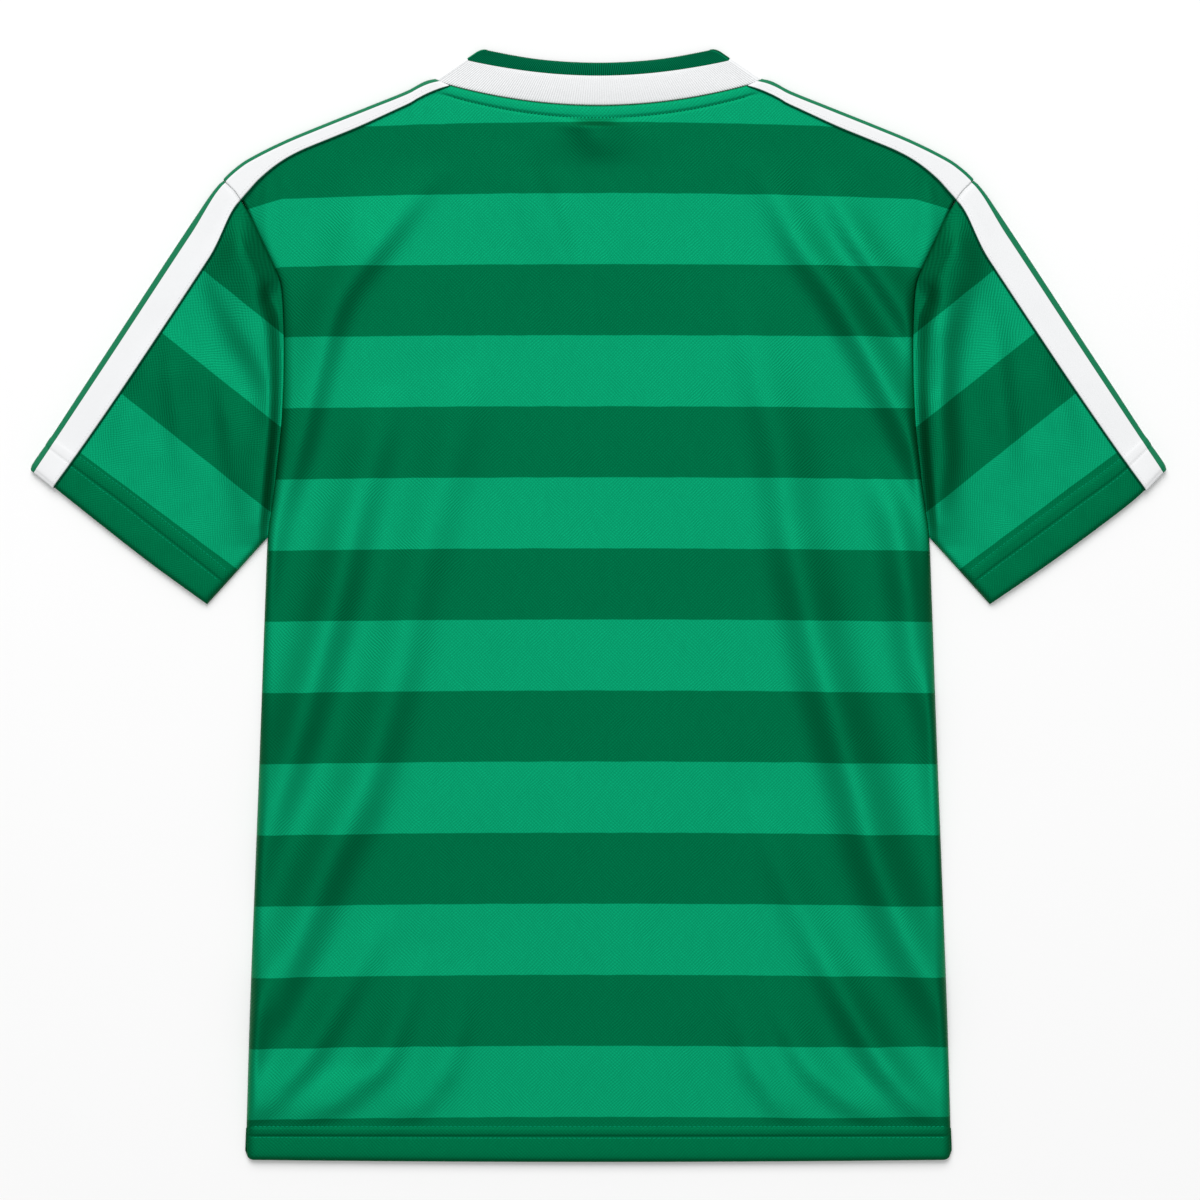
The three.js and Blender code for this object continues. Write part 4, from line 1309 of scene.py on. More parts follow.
@dataclass
class Sleeve:
    """One sleeve: a folded cloth with its seam under the arm and a turned hem at the cuff.

    Attributes:
        table: Where the garment lies.
        side: Which sleeve it is.
        across, around: The number of grid steps across the upper layer and round the fold.
        hem: The turned hem.
        thickness: The cloth's thickness.
        tucked: How far the back's edge lies over the sleeve's end below the tuck's top.
        side_roll, side_foot: How wide and how low the upper layer rolls down to the underarm.
        side_turn, side_height: How wide and how high the lower layer turns up to meet it.
        seam_overlap: How far the sewn end goes on under the back's edge.
        hem_zone: The depth in which the rows keep their true distance from the cuff.
        turned_in_share: The least share of the width that the hem's hidden rows have.
        tucked_foot, sewn_foot: How high the sewn end's face lies, below and above the tuck's top.
        lowest: The lowest that the upper layer's face lies.
    """

    table: Table
    side: Side
    across: int = 60
    around: int = 12
    hem: HemShape = HemShape(18.0, 25.6, channel=0.4, pull=0.25, crown=0.6)
    thickness: float = 0.8
    tucked: float = 8.0
    side_roll: float = 7.0
    side_foot: float = 1.75
    side_turn: float = 2.5
    side_height: float = 1.55
    seam_overlap: float = 2.2
    hem_zone: float = 28.0
    turned_in_share: float = 0.016
    tucked_foot: float = 2.4
    sewn_foot: float = 2.3
    lowest: float = 2.1

    def __post_init__(self) -> None:
        """Works out the lengths that the surface needs, and its folds."""
        self.length = TOP_FOLD.sleeve_length
        self.under_length = (self.end(0) - CUFF_INNER).length
        own_folds = RIGHT_SLEEVE_FOLDS if self.side is Side.RIGHT else LEFT_SLEEVE_FOLDS
        self.drape = Drape(SLEEVE_FOLDS + own_folds, 0.35, 21.0 + self.side.value * 6)
        self.cuff_tip = self.fold(1)[0]
        cuff_way = (self.cuff_tip - CUFF_INNER).normalized()
        self.axis = Vector((cuff_way.y, -cuff_way.x))

    def fold(self, v: float) -> tuple[Vector, Vector, Vector]:
        """The middle of the outer fold, and its directions."""
        return TOP_FOLD.at(v * self.length, FOLD_IN)

    def end(self, u: float) -> Vector:
        """A point of the sewn end."""
        up = mix(SLEEVE_END.positions[0], SLEEVE_END.positions[-1], u)
        return Vector((SLEEVE_END.at(up), up))

    def flat_point(self, u: float, v: float) -> Vector:
        """A point of the lying sleeve.

        Args:
            u: From the underarm, 0, to the fold, 1.
            v: From the sewn end, 0, to the cuff, 1.
        """
        straight_cuff = CUFF_INNER.lerp(self.cuff_tip, u)
        cuff = straight_cuff + self.axis * CUFF_BOWS[self.side].at(u)
        under = self.end(0).lerp(CUFF_INNER, v)
        corners = self.end(0).lerp(self.end(1), u).lerp(straight_cuff, v)
        return self.end(u).lerp(cuff, v) + under * (1 - u) + self.fold(v)[0] * u - corners

    def local_length(self, u: float) -> float:
        """The length from the sewn end to the cuff at a share of the width."""
        return mix(self.under_length, self.length, u)

    def share_at(self, u: float, from_cuff: float) -> float:
        """The share of the way to the cuff, at a true distance from it in the hem and in even steps above."""
        in_hem = min(from_cuff, self.hem_zone) / self.local_length(u)
        past_hem = max(from_cuff - self.hem_zone, 0.0) / (self.length - self.hem_zone)
        return mix(1 - in_hem, 0, past_hem)

    def width(self, v: float) -> float:
        """The sleeve's width from the underarm to the fold."""
        return (self.flat_point(0, v) - self.flat_point(1, v)).length

    def upper(self, u: float, v: float) -> tuple[Vector, float]:
        """A point of the upper layer and the height of its outer face, before the underarm rolls down."""
        point = self.flat_point(u, v)
        from_end = v * self.local_length(u)
        from_cuff = (1 - v) * self.local_length(u)
        is_sewn = smooth(self.end(u).y, TUCK_TOP_UP - 2, TUCK_TOP_UP + 12)
        foot = mix(self.tucked_foot, self.sewn_foot, is_sewn)
        folds = self.drape.height(point.x, point.y) * (1 - smooth(u, 0.84, 0.97))
        folds *= mix(0.2, 1, smooth(from_cuff, 12, 46))
        rest = mix(SLEEVE_HEM, BACK_REST, smooth(from_cuff, 22, 70)) + folds + self.hem.relief(from_cuff)
        lift = mix(smooth(from_end - self.tucked, 0, 11), quarter_round(from_end, 8), is_sewn)
        lift = mix(lift, 1, smooth(u, 0.88, 0.95))
        return point, max(mix(foot, rest, lift), self.lowest)

    def tuck(self, column: Around, v: float) -> float:
        """How far the sewn end goes on under the back's edge."""
        from_end = v * self.local_length(column.share)
        is_sewn = smooth(self.end(column.share).y, 596, 612) * (1 - smooth(column.share, 0.88, 0.95))
        return self.seam_overlap * is_sewn * (1 - smooth(from_end, 0, 10))

    def outer(self, column: Around, v: float, off: float = 0.0) -> Vector:
        """A point of the outer face, or some way off it, in the garment's millimetres on the right side."""
        if column.angle > 89.9:
            point, top = self.upper(column.share, v)
            roll = quarter_round(column.share * self.width(v), self.side_roll)
            return Vector((point.x, point.y, mix(self.side_foot, top, roll) + off))
        point, outward, _ = self.fold(v)
        radius = self.upper(1, v)[1] / 2
        if column.angle < -89.9:
            flat = self.flat_point(column.share, v)
            from_seam = column.share * self.width(v)
            turned = self.side_height * (1 - quarter_round(from_seam, self.side_turn))
            turned *= smooth(v * self.length, 10, 30)
            return Vector((flat.x, flat.y, turned - off))
        angle = math.radians(column.angle)
        out_by = max(radius + off, 0.2)
        out = point + outward * (out_by * math.cos(angle))
        return Vector((out.x, out.y, radius + out_by * math.sin(angle)))

    def place(self, column: Around, row: Row) -> Vector:
        """A grid point in the frame: the outer face, or the turned hem inside it."""
        if row.inset > self.hem.radius:
            column = replace(column, share=max(column.share, self.turned_in_share))
        v = self.share_at(column.share, row.along)
        return self.framed(self.outer(column, v, -row.inset), row.reach, self.tuck(column, v))

    def framed(self, point: Vector, reach: float = 0.0, tuck: float = 0.0) -> Vector:
        """A point of the right side's millimetres on this side of the frame.

        Args:
            point: The point.
            reach: How far it is moved out past the cuff.
            tuck: How far it is moved in under the back.
        """
        x, up = point.x + self.axis.x * reach - tuck, point.y + self.axis.y * reach
        return self.table.place(x * self.side.value, up, max(point.z, 0.0))

    def pattern(self, column: Around, row: Row) -> tuple[float, float]:
        """A grid point's place on the flat cloth, with hoops that run across the arm."""
        outer = self.outer(column, self.share_at(column.share, row.along))
        from_cuff = (CUFF_INNER - Vector((outer.x, outer.y))).dot(self.axis)
        from_cuff -= CUFF_HOOP_SHIFT.at(from_cuff) + CUFF_HOOP_TURN.at(from_cuff) * (column.share - 0.5)
        in_last_hoop = CUFF_HOOP_FIRST + 4 * HOOP_PITCH - 1
        return column.length * MM, (min(from_cuff, in_last_hoop) - row.reach) * MM

    def columns(self) -> list[Around]:
        """The columns from the underarm, over the top, round the fold and back underneath."""
        width = self.width(0.5)
        turn = math.pi * BACK_REST / 2
        top = [Around(u, 90, u * width) for u in closer_at_ends(self.across, 0, 1, 0.5)]
        nose = [Around(1, mix(90, -90, s), width + s * turn) for s in evenly(self.around, 0, 1)[1:-1]]
        back = closer_at_ends(self.across // 2, 1, 0, 0.5)
        return top + nose + [Around(u, -90, turn + (2 - u) * width) for u in back]

    def grid_rows(self) -> list[Row]:
        """The rows from the hidden end of the cuff's hem to the sewn end."""
        near_cuff, far = evenly(36, 0, 27)[:-1], evenly(48, 27, self.length - 14)[:-1]
        lengths = near_cuff + far + evenly(12, self.length - 14, self.length)
        return hem_rows(self.hem.upper, self.hem.radius) + [Row(length) for length in lengths]

    def on_top(self, u: float, from_cuff: float, lift: float) -> Vector:
        """A point on the upper layer in the frame."""
        return self.framed(self.outer(Around(u), self.share_at(u, from_cuff), lift))

    def build(self, wardrobe: Wardrobe) -> bpy.types.Object:
        """Makes the sleeve and its stitches."""
        grid = shape_grid(self.columns(), self.grid_rows(), self.place, self.pattern)
        piece = make_cloth(f"sleeve_cloth_{self.side.word}", grid, wardrobe.sleeve_knit, self.thickness)
        shares = evenly(90, 0.03, 0.88)
        hems = ([self.on_top(u, from_cuff, 0.05) for u in shares] for from_cuff in self.hem.sewn_at)
        name = f"cuff_stitches_{self.side.word}"
        stitches = sew(name, hems, HEM_STITCH, wardrobe.hem_thread_and_highlight)
        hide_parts(f"sleeve_{self.side.word}")
        return piece


@dataclass
class TapeRun:
    """The sizes that both stretches of a side's tape share.

    Attributes:
        at_neck, on_shoulder, at_armhole, on_sleeve: How much of the tape shows from above at each place.
        width: The whole tape's width.
        off: How far its face stands off the cloth.
        thickness: The tape's thickness.
        piping_radius: The radius of the cord along its inner edge.
        edge_stitch: The stitches' distance from the inner edge.
        border_on_shoulder, border_on_sleeve: Where the green border starts, past the start of the fold.
        end_depth, end_width: How far a sewn end dips into its seam, and over which width.
        edge_depth: How far the inner edge is drawn down.
    """

    at_neck: float = 8.4
    on_shoulder: float = 11.2
    at_armhole: float = 15.6
    on_sleeve: float = 21.6
    width: float = 29.0
    off: float = 1.1
    thickness: float = 0.8
    piping_radius: float = 0.75
    edge_stitch: float = 2.4
    border_on_shoulder: float = 1.0
    border_on_sleeve: float = -0.6
    end_depth: float = 0.9
    end_width: float = 1.4
    edge_depth: float = 0.5

    def end_dip(self, distance: float) -> float:
        """How far a tape dips at a distance from its sewn end."""
        return self.end_depth * (1 - quarter_round(distance, self.end_width))

    def edge_dip(self, share: float, width: float) -> float:
        """How far a tape is drawn down at a share of its grid, near the inner edge."""
        return self.edge_depth * (1 - quarter_round(share, width))


def tube_along(path: Sequence[Vector], radius: float) -> bmesh.types.BMesh:
    """A closed round cord of cloth along a path.

    Args:
        path: Its middle line, in metres.
        radius: Its radius in millimetres.

    Returns:
        The tube, with rounded ends.
    """
    last = len(path) - 1
    lengths = [0.0]
    for before, after in zip(path, path[1:]):
        lengths.append(lengths[-1] + (after - before).length)

    def place(angle: float, i: int) -> Vector:
        """A point round the cord, beside one of the path's points."""
        along = (path[min(i + 1, last)] - path[max(i - 1, 0)]).normalized()
        sideways = along.cross(Vector((0, 0, 1))).normalized()
        size = radius * MM * (0.05 if i in (0, last) else 1.0)
        return path[i] + (sideways * math.cos(angle) + along.cross(sideways) * math.sin(angle)) * size

    def pattern(angle: float, i: int) -> tuple[float, float]:
        """The point's place on the flat cloth."""
        return angle * radius * MM, lengths[i]

    bm = shape_grid(evenly(10, 0, 2 * math.pi), range(len(path)), place, pattern)
    bmesh.ops.remove_doubles(bm, verts=bm.verts[:], dist=1e-7)
    bmesh.ops.holes_fill(bm, edges=[edge for edge in bm.edges if edge.is_boundary], sides=0)
    bmesh.ops.recalc_face_normals(bm, faces=bm.faces[:])
    return bm


def make_tape(
    kind: str,
    side: Side,
    grid: bmesh.types.BMesh,
    cord: Sequence[Vector],
    seams: Iterable[Sequence[Vector]],
    length: float,
    run: TapeRun,
    wardrobe: Wardrobe,
) -> bpy.types.Object:
    """Makes a tape, its piping and its stitches.

    Args:
        kind: Where the tape runs, as its names say it.
        side: Its side.
        grid: Its outer face.
        cord: The piping's middle line, in metres.
        seams: The rows of stitches, in metres.
        length: The tape's length in millimetres; not used.
        run: Its sizes.
        wardrobe: The finishes.

    Returns:
        The tape.
    """
    tape = make_cloth(f"{kind}_tape_cloth_{side.word}", grid, wardrobe.white_tape, run.thickness)
    piping = make_object(
        f"{kind}_piping_{side.word}", tube_along(cord, run.piping_radius), wardrobe.piping
    )
    name = f"{kind}_tape_stitches_{side.word}"
    stitches = sew(name, seams, TAPE_STITCH, wardrobe.white_thread)
    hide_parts(f"{kind}_tape_{side.word}")
    return tape


@dataclass
class SleeveTape:
    """The tape down a sleeve, from its inner edge round the fold and over the cuff's edge.

    Attributes:
        sleeve: The sleeve that it is sewn on.
        run: The sizes that it shares with the shoulder's tape.
        wrap: How far it goes down round the fold, in degrees.
        fold_at: The share of the grid at which the fold starts.
    """

    sleeve: Sleeve
    run: TapeRun = field(default_factory=TapeRun)
    wrap: float = 35.0
    fold_at: float = 0.6

    def inner_share(self, v: float, in_from_edge: float = 0.0) -> float:
        """The sleeve's share at which the tape's inner edge lies, or some way in from that edge."""
        return 1 - (self.visible(v) - FOLD_IN - in_from_edge) / self.sleeve.width(v)

    def visible(self, v: float) -> float:
        """How much of the tape shows."""
        return mix(self.run.at_armhole, self.run.on_sleeve, self.past_shoulder(v))

    def past_shoulder(self, v: float) -> float:
        """How far the tape has widened from its shoulder end, 0 to 1."""
        return smooth(v * self.sleeve.length, 0, 45)

    def column(self, s: float, v: float) -> Around:
        """A column from the inner edge, 0, over the start of the fold to its far edge, 1."""
        if s <= self.fold_at:
            return Around(mix(self.inner_share(v), 1, s / self.fold_at))
        return Around(1, mix(90, -self.wrap, (s - self.fold_at) / (1 - self.fold_at)))

    def turned(self, column: Around, row: Row, off: float) -> Vector:
        """A point off the sleeve, in a row that may turn over the cuff's edge."""
        v = self.sleeve.share_at(column.share, row.along)
        off -= self.run.end_dip(self.sleeve.length - row.along)
        return self.sleeve.framed(self.sleeve.outer(column, v, off - row.inset), row.reach)

    def place(self, s: float, row: Row) -> Vector:
        """A grid point in the frame."""
        column = self.column(s, 1 - row.along / self.sleeve.length)
        return self.turned(column, row, self.run.off - self.run.edge_dip(s, 0.05))

    def pattern(self, s: float, row: Row) -> tuple[float, float]:
        """A grid point's place on the flat tape, measured from the border's start."""
        v = 1 - row.along / self.sleeve.length
        border = mix(self.run.border_on_shoulder, self.run.border_on_sleeve, self.past_shoulder(v))
        past_fold = (s / self.fold_at - 1) * (self.visible(v) - FOLD_IN)
        if s > self.fold_at:
            nose = math.radians(90 + self.wrap) * (BACK_REST / 2 + self.run.off)
            past_fold = (s - self.fold_at) / (1 - self.fold_at) * nose
        return (past_fold - border) * MM, (row.along - row.reach) * MM

    def rows(self, turn_radius: float) -> list[Row]:
        """The rows from inside the cuff, round its edge and up to the armhole."""
        near_cuff, far = evenly(36, 0, 27)[:-1], evenly(60, 27, self.sleeve.length - 0.1)
        return edge_turn(turn_radius, math.radians(110)) + [Row(along) for along in near_cuff + far]

    def edge_line(self, in_from_edge: float, off: float, rows: Sequence[Row]) -> list[Vector]:
        """A line that runs beside the inner edge."""
        shares = [self.inner_share(1 - row.along / self.sleeve.length, in_from_edge) for row in rows]
        return [self.turned(Around(share), row, off) for share, row in zip(shares, rows)]

    def build(self, wardrobe: Wardrobe) -> bpy.types.Object:
        """Makes the tape, its piping and its stitches."""
        side, hem, length = self.sleeve.side, self.sleeve.hem, self.sleeve.length
        shares = evenly(18, 0, self.fold_at)[:-1] + evenly(16, self.fold_at, 1)
        rows = self.rows(hem.radius + self.run.off)
        grid = shape_grid(shares, rows, self.place, self.pattern)
        seams = [self.edge_line(self.run.edge_stitch, self.run.off, rows[6:])]
        for from_cuff in (hem.lower, hem.upper):
            across = evenly(12, self.inner_share(1 - from_cuff / length, 0.6), 0.999)
            seams.append([self.turned(Around(u), Row(from_cuff), self.run.off) for u in across])
        cord = self.edge_line(-0.5, 0.5, rows[4:])
        rests_on = f"sleeve_cloth_{side.word}"
        return make_tape("sleeve", side, grid, cord, seams, length, self.run, wardrobe)


@dataclass
class ShoulderTape:
    """The tape over a shoulder seam: on the back, round the fold and under the front.

    Attributes:
        back: The back that it is sewn on.
        sleeve: The sleeve whose tape it meets.
        run: The sizes that it shares with the sleeve's tape.
        fold_at, under_at: The shares of the grid at which the fold and the leg under the front start.
        neck_clear: How far its neck end stays from the outline's end.
        fold_end, inner_end: Where its neck end lies: out and up, at the fold and at the inner edge.
        end_height: How high its neck end lies.
        end_roll: Over which length it rises from that end.
        folds_share: How much of the back's folds it follows.
        leg_length: The leg's length on the flat tape.
    """

    back: Back
    sleeve: Sleeve
    run: TapeRun = field(default_factory=TapeRun)
    fold_at: float = 0.35
    under_at: float = 0.6
    neck_clear: float = 1.2
    fold_end: tuple[float, float] = (113.8, 757.4)
    inner_end: tuple[float, float] = (103.8, 752.8)
    end_height: float = 4.5
    end_roll: float = 4.5
    folds_share: float = 0.2
    leg_length: float = 12.0

    def visible(self, share: float) -> float:
        """How much of the tape shows at a share of the way from the neck to the armhole."""
        near_neck = mix(self.run.at_neck, self.run.on_shoulder, smooth(share, 0, 0.45))
        return mix(near_neck, self.run.at_armhole, self.near_armhole(share))

    def near_armhole(self, share: float) -> float:
        """How far the tape has widened towards the armhole, 0 to 1."""
        return smooth(share, 0.6, 1)

    def neck_lift(self, share: float) -> float:
        """How far the tape has risen from its neck end, 0 to 1."""
        return quarter_round(share * TOP_FOLD.shoulder_length, self.end_roll)

    def armhole_dip(self, share: float) -> float:
        """How far the tape dips into the armhole seam."""
        return self.run.end_dip((1 - share) * TOP_FOLD.shoulder_length)

    def straight_at(self, share: float, inwards: float) -> Vector:
        """A point some way in from the fold's middle, on a tape whose ends are cut straight."""
        distance = mix(self.neck_clear - TOP_FOLD.shoulder_length, -0.1, share)
        point, outward, along = TOP_FOLD.at(distance, FOLD_IN + inwards)
        neck_shift = (outward.x / along.x) * (1 - smooth(share, 0, 0.4))
        return point + along * ((FOLD_IN + inwards) * neck_shift)

    def flat_at(self, share: float, inwards: float, on_back: float) -> Vector:
        """The same point with the ends cut along the neck seam and the armhole.

        Args:
            share: From the neck to the armhole.
            inwards: From the fold's middle towards the inner edge.
            on_back: 1 on the back, and less round the fold, where the neck end is cut straight.
        """
        point = self.straight_at(share, inwards)
        across = (inwards + FOLD_IN) / self.run.at_neck
        neck_end = Vector(self.fold_end).lerp(Vector(self.inner_end), across)
        neck_pull = (1 - smooth(share, 0, 0.1)) * on_back
        point += (neck_end - self.straight_at(0, inwards)) * neck_pull
        sleeve_share = 1 - max(inwards, 0) / self.sleeve.width(0)
        arm_end = self.sleeve.flat_point(sleeve_share, 0)
        arm_pull = smooth(share, 0.7, 1) * smooth(inwards, 0, 3)
        return point + (arm_end - self.straight_at(1, inwards)) * arm_pull

    def framed(self, flat: Vector, height: float) -> Vector:
        """A point of the right side's millimetres on this side of the frame."""
        return self.sleeve.table.place(flat.x * self.sleeve.side.value, flat.y, height)

    def on_back(self, share: float, inwards: float, off: float) -> Vector:
        """A point above the back in the frame."""
        flat = self.flat_at(share, inwards, 1)
        folds = self.back.drape.height(flat.x * self.sleeve.side.value, flat.y) * self.folds_share
        off -= self.armhole_dip(share)
        rest = mix(self.end_height - self.run.off, BACK_REST + folds, self.neck_lift(share))
        return self.framed(flat, rest + off)

    def place(self, s: float, share: float) -> Vector:
        """A grid point: s runs from the inner edge, 0, to the fold, round it and under the front to 1."""
        if s <= self.fold_at:
            inwards = mix(self.visible(share) - FOLD_IN, 0, s / self.fold_at)
            return self.on_back(share, inwards, self.run.off - self.run.edge_dip(s, 0.04))
        end_dip = self.armhole_dip(share)
        middle = (mix(self.end_height, BACK_REST + self.run.off, self.neck_lift(share)) - end_dip) / 2
        if s <= self.under_at:
            angle = math.radians(mix(90, -90, (s - self.fold_at) / (self.under_at - self.fold_at)))
            out_by = (FOLD_IN - end_dip) * math.cos(angle)
            flat = self.flat_at(share, -out_by, (1 + math.sin(angle)) / 2)
            return self.framed(flat, middle * (1 + math.sin(angle)))
        shows = mix(self.run.on_shoulder, self.run.at_armhole, self.near_armhole(share))
        leg = self.run.width - shows - FOLD_IN
        return self.framed(self.straight_at(share, leg * (s - self.under_at) / (1 - self.under_at)), 0)

    def pattern(self, s: float, share: float) -> tuple[float, float]:
        """A grid point's place on the flat tape, measured from the border's start."""
        past_fold = (s / self.fold_at - 1) * (self.visible(share) - FOLD_IN)
        if s > self.fold_at:
            nose = math.pi * (BACK_REST + self.run.off) / 2
            round_fold = min((s - self.fold_at) / (self.under_at - self.fold_at), 1)
            on_leg = max(0.0, s - self.under_at) / (1 - self.under_at)
            past_fold = round_fold * nose + on_leg * self.leg_length
        return (past_fold - self.run.border_on_shoulder) * MM, share * TOP_FOLD.shoulder_length * MM

    def build(self, wardrobe: Wardrobe) -> bpy.types.Object:
        """Makes the tape, its piping and its stitches."""
        fold, under, off = self.fold_at, self.under_at, self.run.off
        shares = evenly(14, 0, fold)[:-1] + evenly(16, fold, under)[:-1] + evenly(8, under, 1)
        rows = evenly(24, 0, 0.12)[:-1] + evenly(52, 0.12, 0.97)[:-1] + evenly(8, 0.97, 1)
        grid = shape_grid(shares, rows, self.place, self.pattern)
        cord = [self.on_back(share, self.visible(share) - FOLD_IN + 0.5, 0.5) for share in rows]
        inset, neck_row = FOLD_IN + self.run.edge_stitch, 0.07
        across = evenly(10, -1.5, self.visible(neck_row) - FOLD_IN - 0.6)
        seams = [
            [self.on_back(share, self.visible(share) - inset, off) for share in rows[8:]],
            [self.on_back(neck_row, inwards, off) for inwards in across],
        ]
        length = TOP_FOLD.shoulder_length
        return make_tape(
            "shoulder", self.sleeve.side, grid, cord, seams, length, self.run, wardrobe
        )


class Stretch(Enum):
    """A stretch of the collar's loop."""

    BACK = "back"
    FOLD = "fold"
    FRONT = "front"


@dataclass(frozen=True)
class Station:
    """A column of the collar's loop.

    Attributes:
        stretch: Which stretch of the loop it is on.
        side: From -1 at the left to 1 at the right.
        drop: How far the front has dropped, 0 to 1.
        turn: The angle round a fold, in degrees.
        length: The distance round the seam.
    """

    stretch: Stretch
    side: float
    drop: float
    turn: float
    length: float


@dataclass
class Collar:
    """The knitted crew collar: one loop of rib in two colours, folded at the shoulders.

    Attributes:
        table: Where the garment lies.
        rib: The rib's thickness.
        back_ribs, front_ribs: The number of ribs on each side of the folds.
        per_rib: The number of grid steps to each rib of the back.
        turn_length: The length round a fold.
        relief: How far a rib stands up.
        edge_half, edge_up, edge_rise: The free edge at the back: half its length, and how it bows.
        front_edge_up: The lowest of the free edge at the front.
        fold_height: How high the back lies at the folds.
        corner, rounded_from: How far the free edge's corners are rounded, and from which share.
        flat_width: The width of the whole rib, flat.
        white_heights, green_heights: The middle of each colour at the back: rows of share and height.
    """

    table: Table
    rib: float = 1.8
    back_ribs: int = 128
    front_ribs: int = 180
    per_rib: int = 6
    turn_length: float = 4.0
    relief: float = 0.16
    edge_half: float = 81.0
    edge_up: float = 769.1
    edge_rise: float = 8.2
    front_edge_up: float = 699.0
    fold_height: float = 3.3
    corner: float = 3.4
    rounded_from: float = 0.87
    flat_width: float = 30.0
    white_heights: Curve = field(
        default_factory=lambda: Curve((0, 3.6), (0.3, 4.5), (0.6, 4.5), (0.69, 4.0))
    )
    green_heights: Curve = field(
        default_factory=lambda: Curve((0.66, 3.0), (0.8, 3.7), (0.95, 3.2), (1, 2.6))
    )

    def stations(self) -> list[Station]:
        """The columns round the loop, with a few to each rib."""
        back_length, front_length = self.back_ribs * RIB_PITCH, self.front_ribs * RIB_PITCH
        front_start = back_length + self.turn_length
        back = [
            Station(Stretch.BACK, side, 0, 0, (side + 1) / 2 * back_length)
            for side in evenly(self.back_ribs * self.per_rib, -1, 1)
        ]
        front = [
            Station(Stretch.FRONT, math.cos(a), math.sin(a), 0, front_start + a / math.pi * front_length)
            for a in evenly(self.front_ribs * 3, 0, math.pi)
        ]
        right = self.fold_stations(1, 90, back_length)[:-1]
        return back + right + front + self.fold_stations(-1, -90, front_start + front_length)

    def fold_stations(self, side: float, first: float, start: float) -> list[Station]:
        """The columns round a shoulder's fold, after the one where it starts.

        Args:
            side: 1 at the right and -1 at the left.
            first: The angle where the fold starts, in degrees.
            start: The distance round the seam there.
        """
        turns = list(zip(evenly(8, first, -first), evenly(8, 0, 1)))[1:]
        return [Station(Stretch.FOLD, side, 0, turn, start + s * self.turn_length) for turn, s in turns]

    def flat_point(self, station: Station, share: float) -> Vector:
        """A point of the lying rib between the neck seam, 0, and the free edge, 1."""
        is_front = station.stretch is Stretch.FRONT
        seam_half = NECK_HALF - 0.9 if is_front else NECK_HALF
        is_back = station.stretch is Stretch.BACK
        seam_up = back_neck_up(NECK_HALF * station.side) if is_back else NECK_CORNER_UP
        seam = Vector((
            seam_half * station.side,
            seam_up + 0.3 - (NECK_CORNER_UP - FRONT_NECK_UP - 1.2) * station.drop,
        ))
        near_edge = max(0.0, (share - self.rounded_from) / (1 - self.rounded_from))
        rounded = self.corner * (1 - math.sqrt(1 - near_edge**2))
        edge_up = self.edge_up + self.edge_rise * (station.side**2 if is_back else 1)
        front_drop = self.edge_up + self.edge_rise - self.front_edge_up
        edge = Vector((self.edge_half * station.side, edge_up - front_drop * station.drop))
        return seam.lerp(edge, share) - Vector((rounded * station.side, 0))

    def place(self, station: Station, share: float, heights: Curve, face: float) -> Vector:
        """A grid point of the outer face in the frame.

        Args:
            station: Its column.
            share: From the neck seam, 0, to the free edge, 1.
            heights: The middle of the cloth at the back.
            face: How far its face lies from that middle, before the ribs.
        """
        flat = self.flat_point(station, share)
        face += self.relief * math.cos(2 * math.pi * station.length / RIB_PITCH)
        low = self.rib / 2
        if station.stretch is Stretch.FRONT:
            return self.table.place(flat.x, flat.y, max(low - face, 0.0))
        if station.stretch is Stretch.BACK:
            middle = 1 - smooth(abs(station.side), 0.5, 0.97)
            return self.table.place(flat.x, flat.y, mix(self.fold_height, heights.at(share), middle) + face)
        radius = (self.fold_height - low) / 2
        seam_to_edge = self.flat_point(station, 1) - self.flat_point(station, 0)
        outward = Vector((seam_to_edge.y, -seam_to_edge.x)).normalized() * station.side
        outward = outward if outward.y > 0 else -outward
        angle, middle = math.radians(station.turn), (self.fold_height + low) / 2
        flat += outward * ((radius + face) * math.cos(angle))
        return self.table.place(flat.x, flat.y, middle + (radius + face) * math.sin(angle))

    def band(
        self, name: str, shares: Sequence[tuple[float, float]], heights: Curve, finish: bpy.types.Material
    ) -> bpy.types.Object:
        """One colour of the rib.

        Args:
            name: The piece's name.
            shares: Each row's share of the rib's width, and how far its face is pulled in there.
            heights: The middle of the cloth at the back, from the seam to the edge.
            finish: Its material.

        Returns:
            The band, closed into a loop.
        """
        def place(station: Station, row: tuple[float, float]) -> Vector:
            """A grid point in the frame."""
            return self.place(station, row[0], heights, self.rib / 2 - row[1])

        def pattern(station: Station, row: tuple[float, float]) -> tuple[float, float]:
            """Its place on the flat rib."""
            return station.length * MM, row[0] * self.flat_width * MM

        grid = shape_grid(self.stations(), shares, place, pattern)
        bmesh.ops.remove_doubles(grid, verts=grid.verts[:], dist=1e-6)
        return make_cloth(name, grid, finish, self.rib * 0.55)

    def build(self, wardrobe: Wardrobe) -> list[bpy.types.Object]:
        """Makes both colours."""
        whites = [(0.0, 0.5), (0.015, 0.2), (0.04, 0.0)] + [(s, 0.0) for s in evenly(9, 0.1, 0.6)]
        whites += [(0.64, 0.0), (0.665, 0.05), (0.682, 0.25), (0.69, 0.6)]
        greens = [(0.67, 0.3)] + [(s, 0.0) for s in evenly(8, 0.7, 0.94)]
        greens += [(0.965, 0.1), (0.985, 0.35), (1.0, 0.9)]
        white = self.band("collar_rib_knit", whites, self.white_heights, wardrobe.white_rib)
        green = self.band("collar_edge_knit", greens, self.green_heights, wardrobe.green_rib)
        for piece, node, slot, flat in (
            (white, "collar_rib", "rib_white", (0.52, 0.023)),
            (green, "collar_edge", "rib_green", (0.47, 0.0112)),
        ):
            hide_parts(node)
        return [white, green]


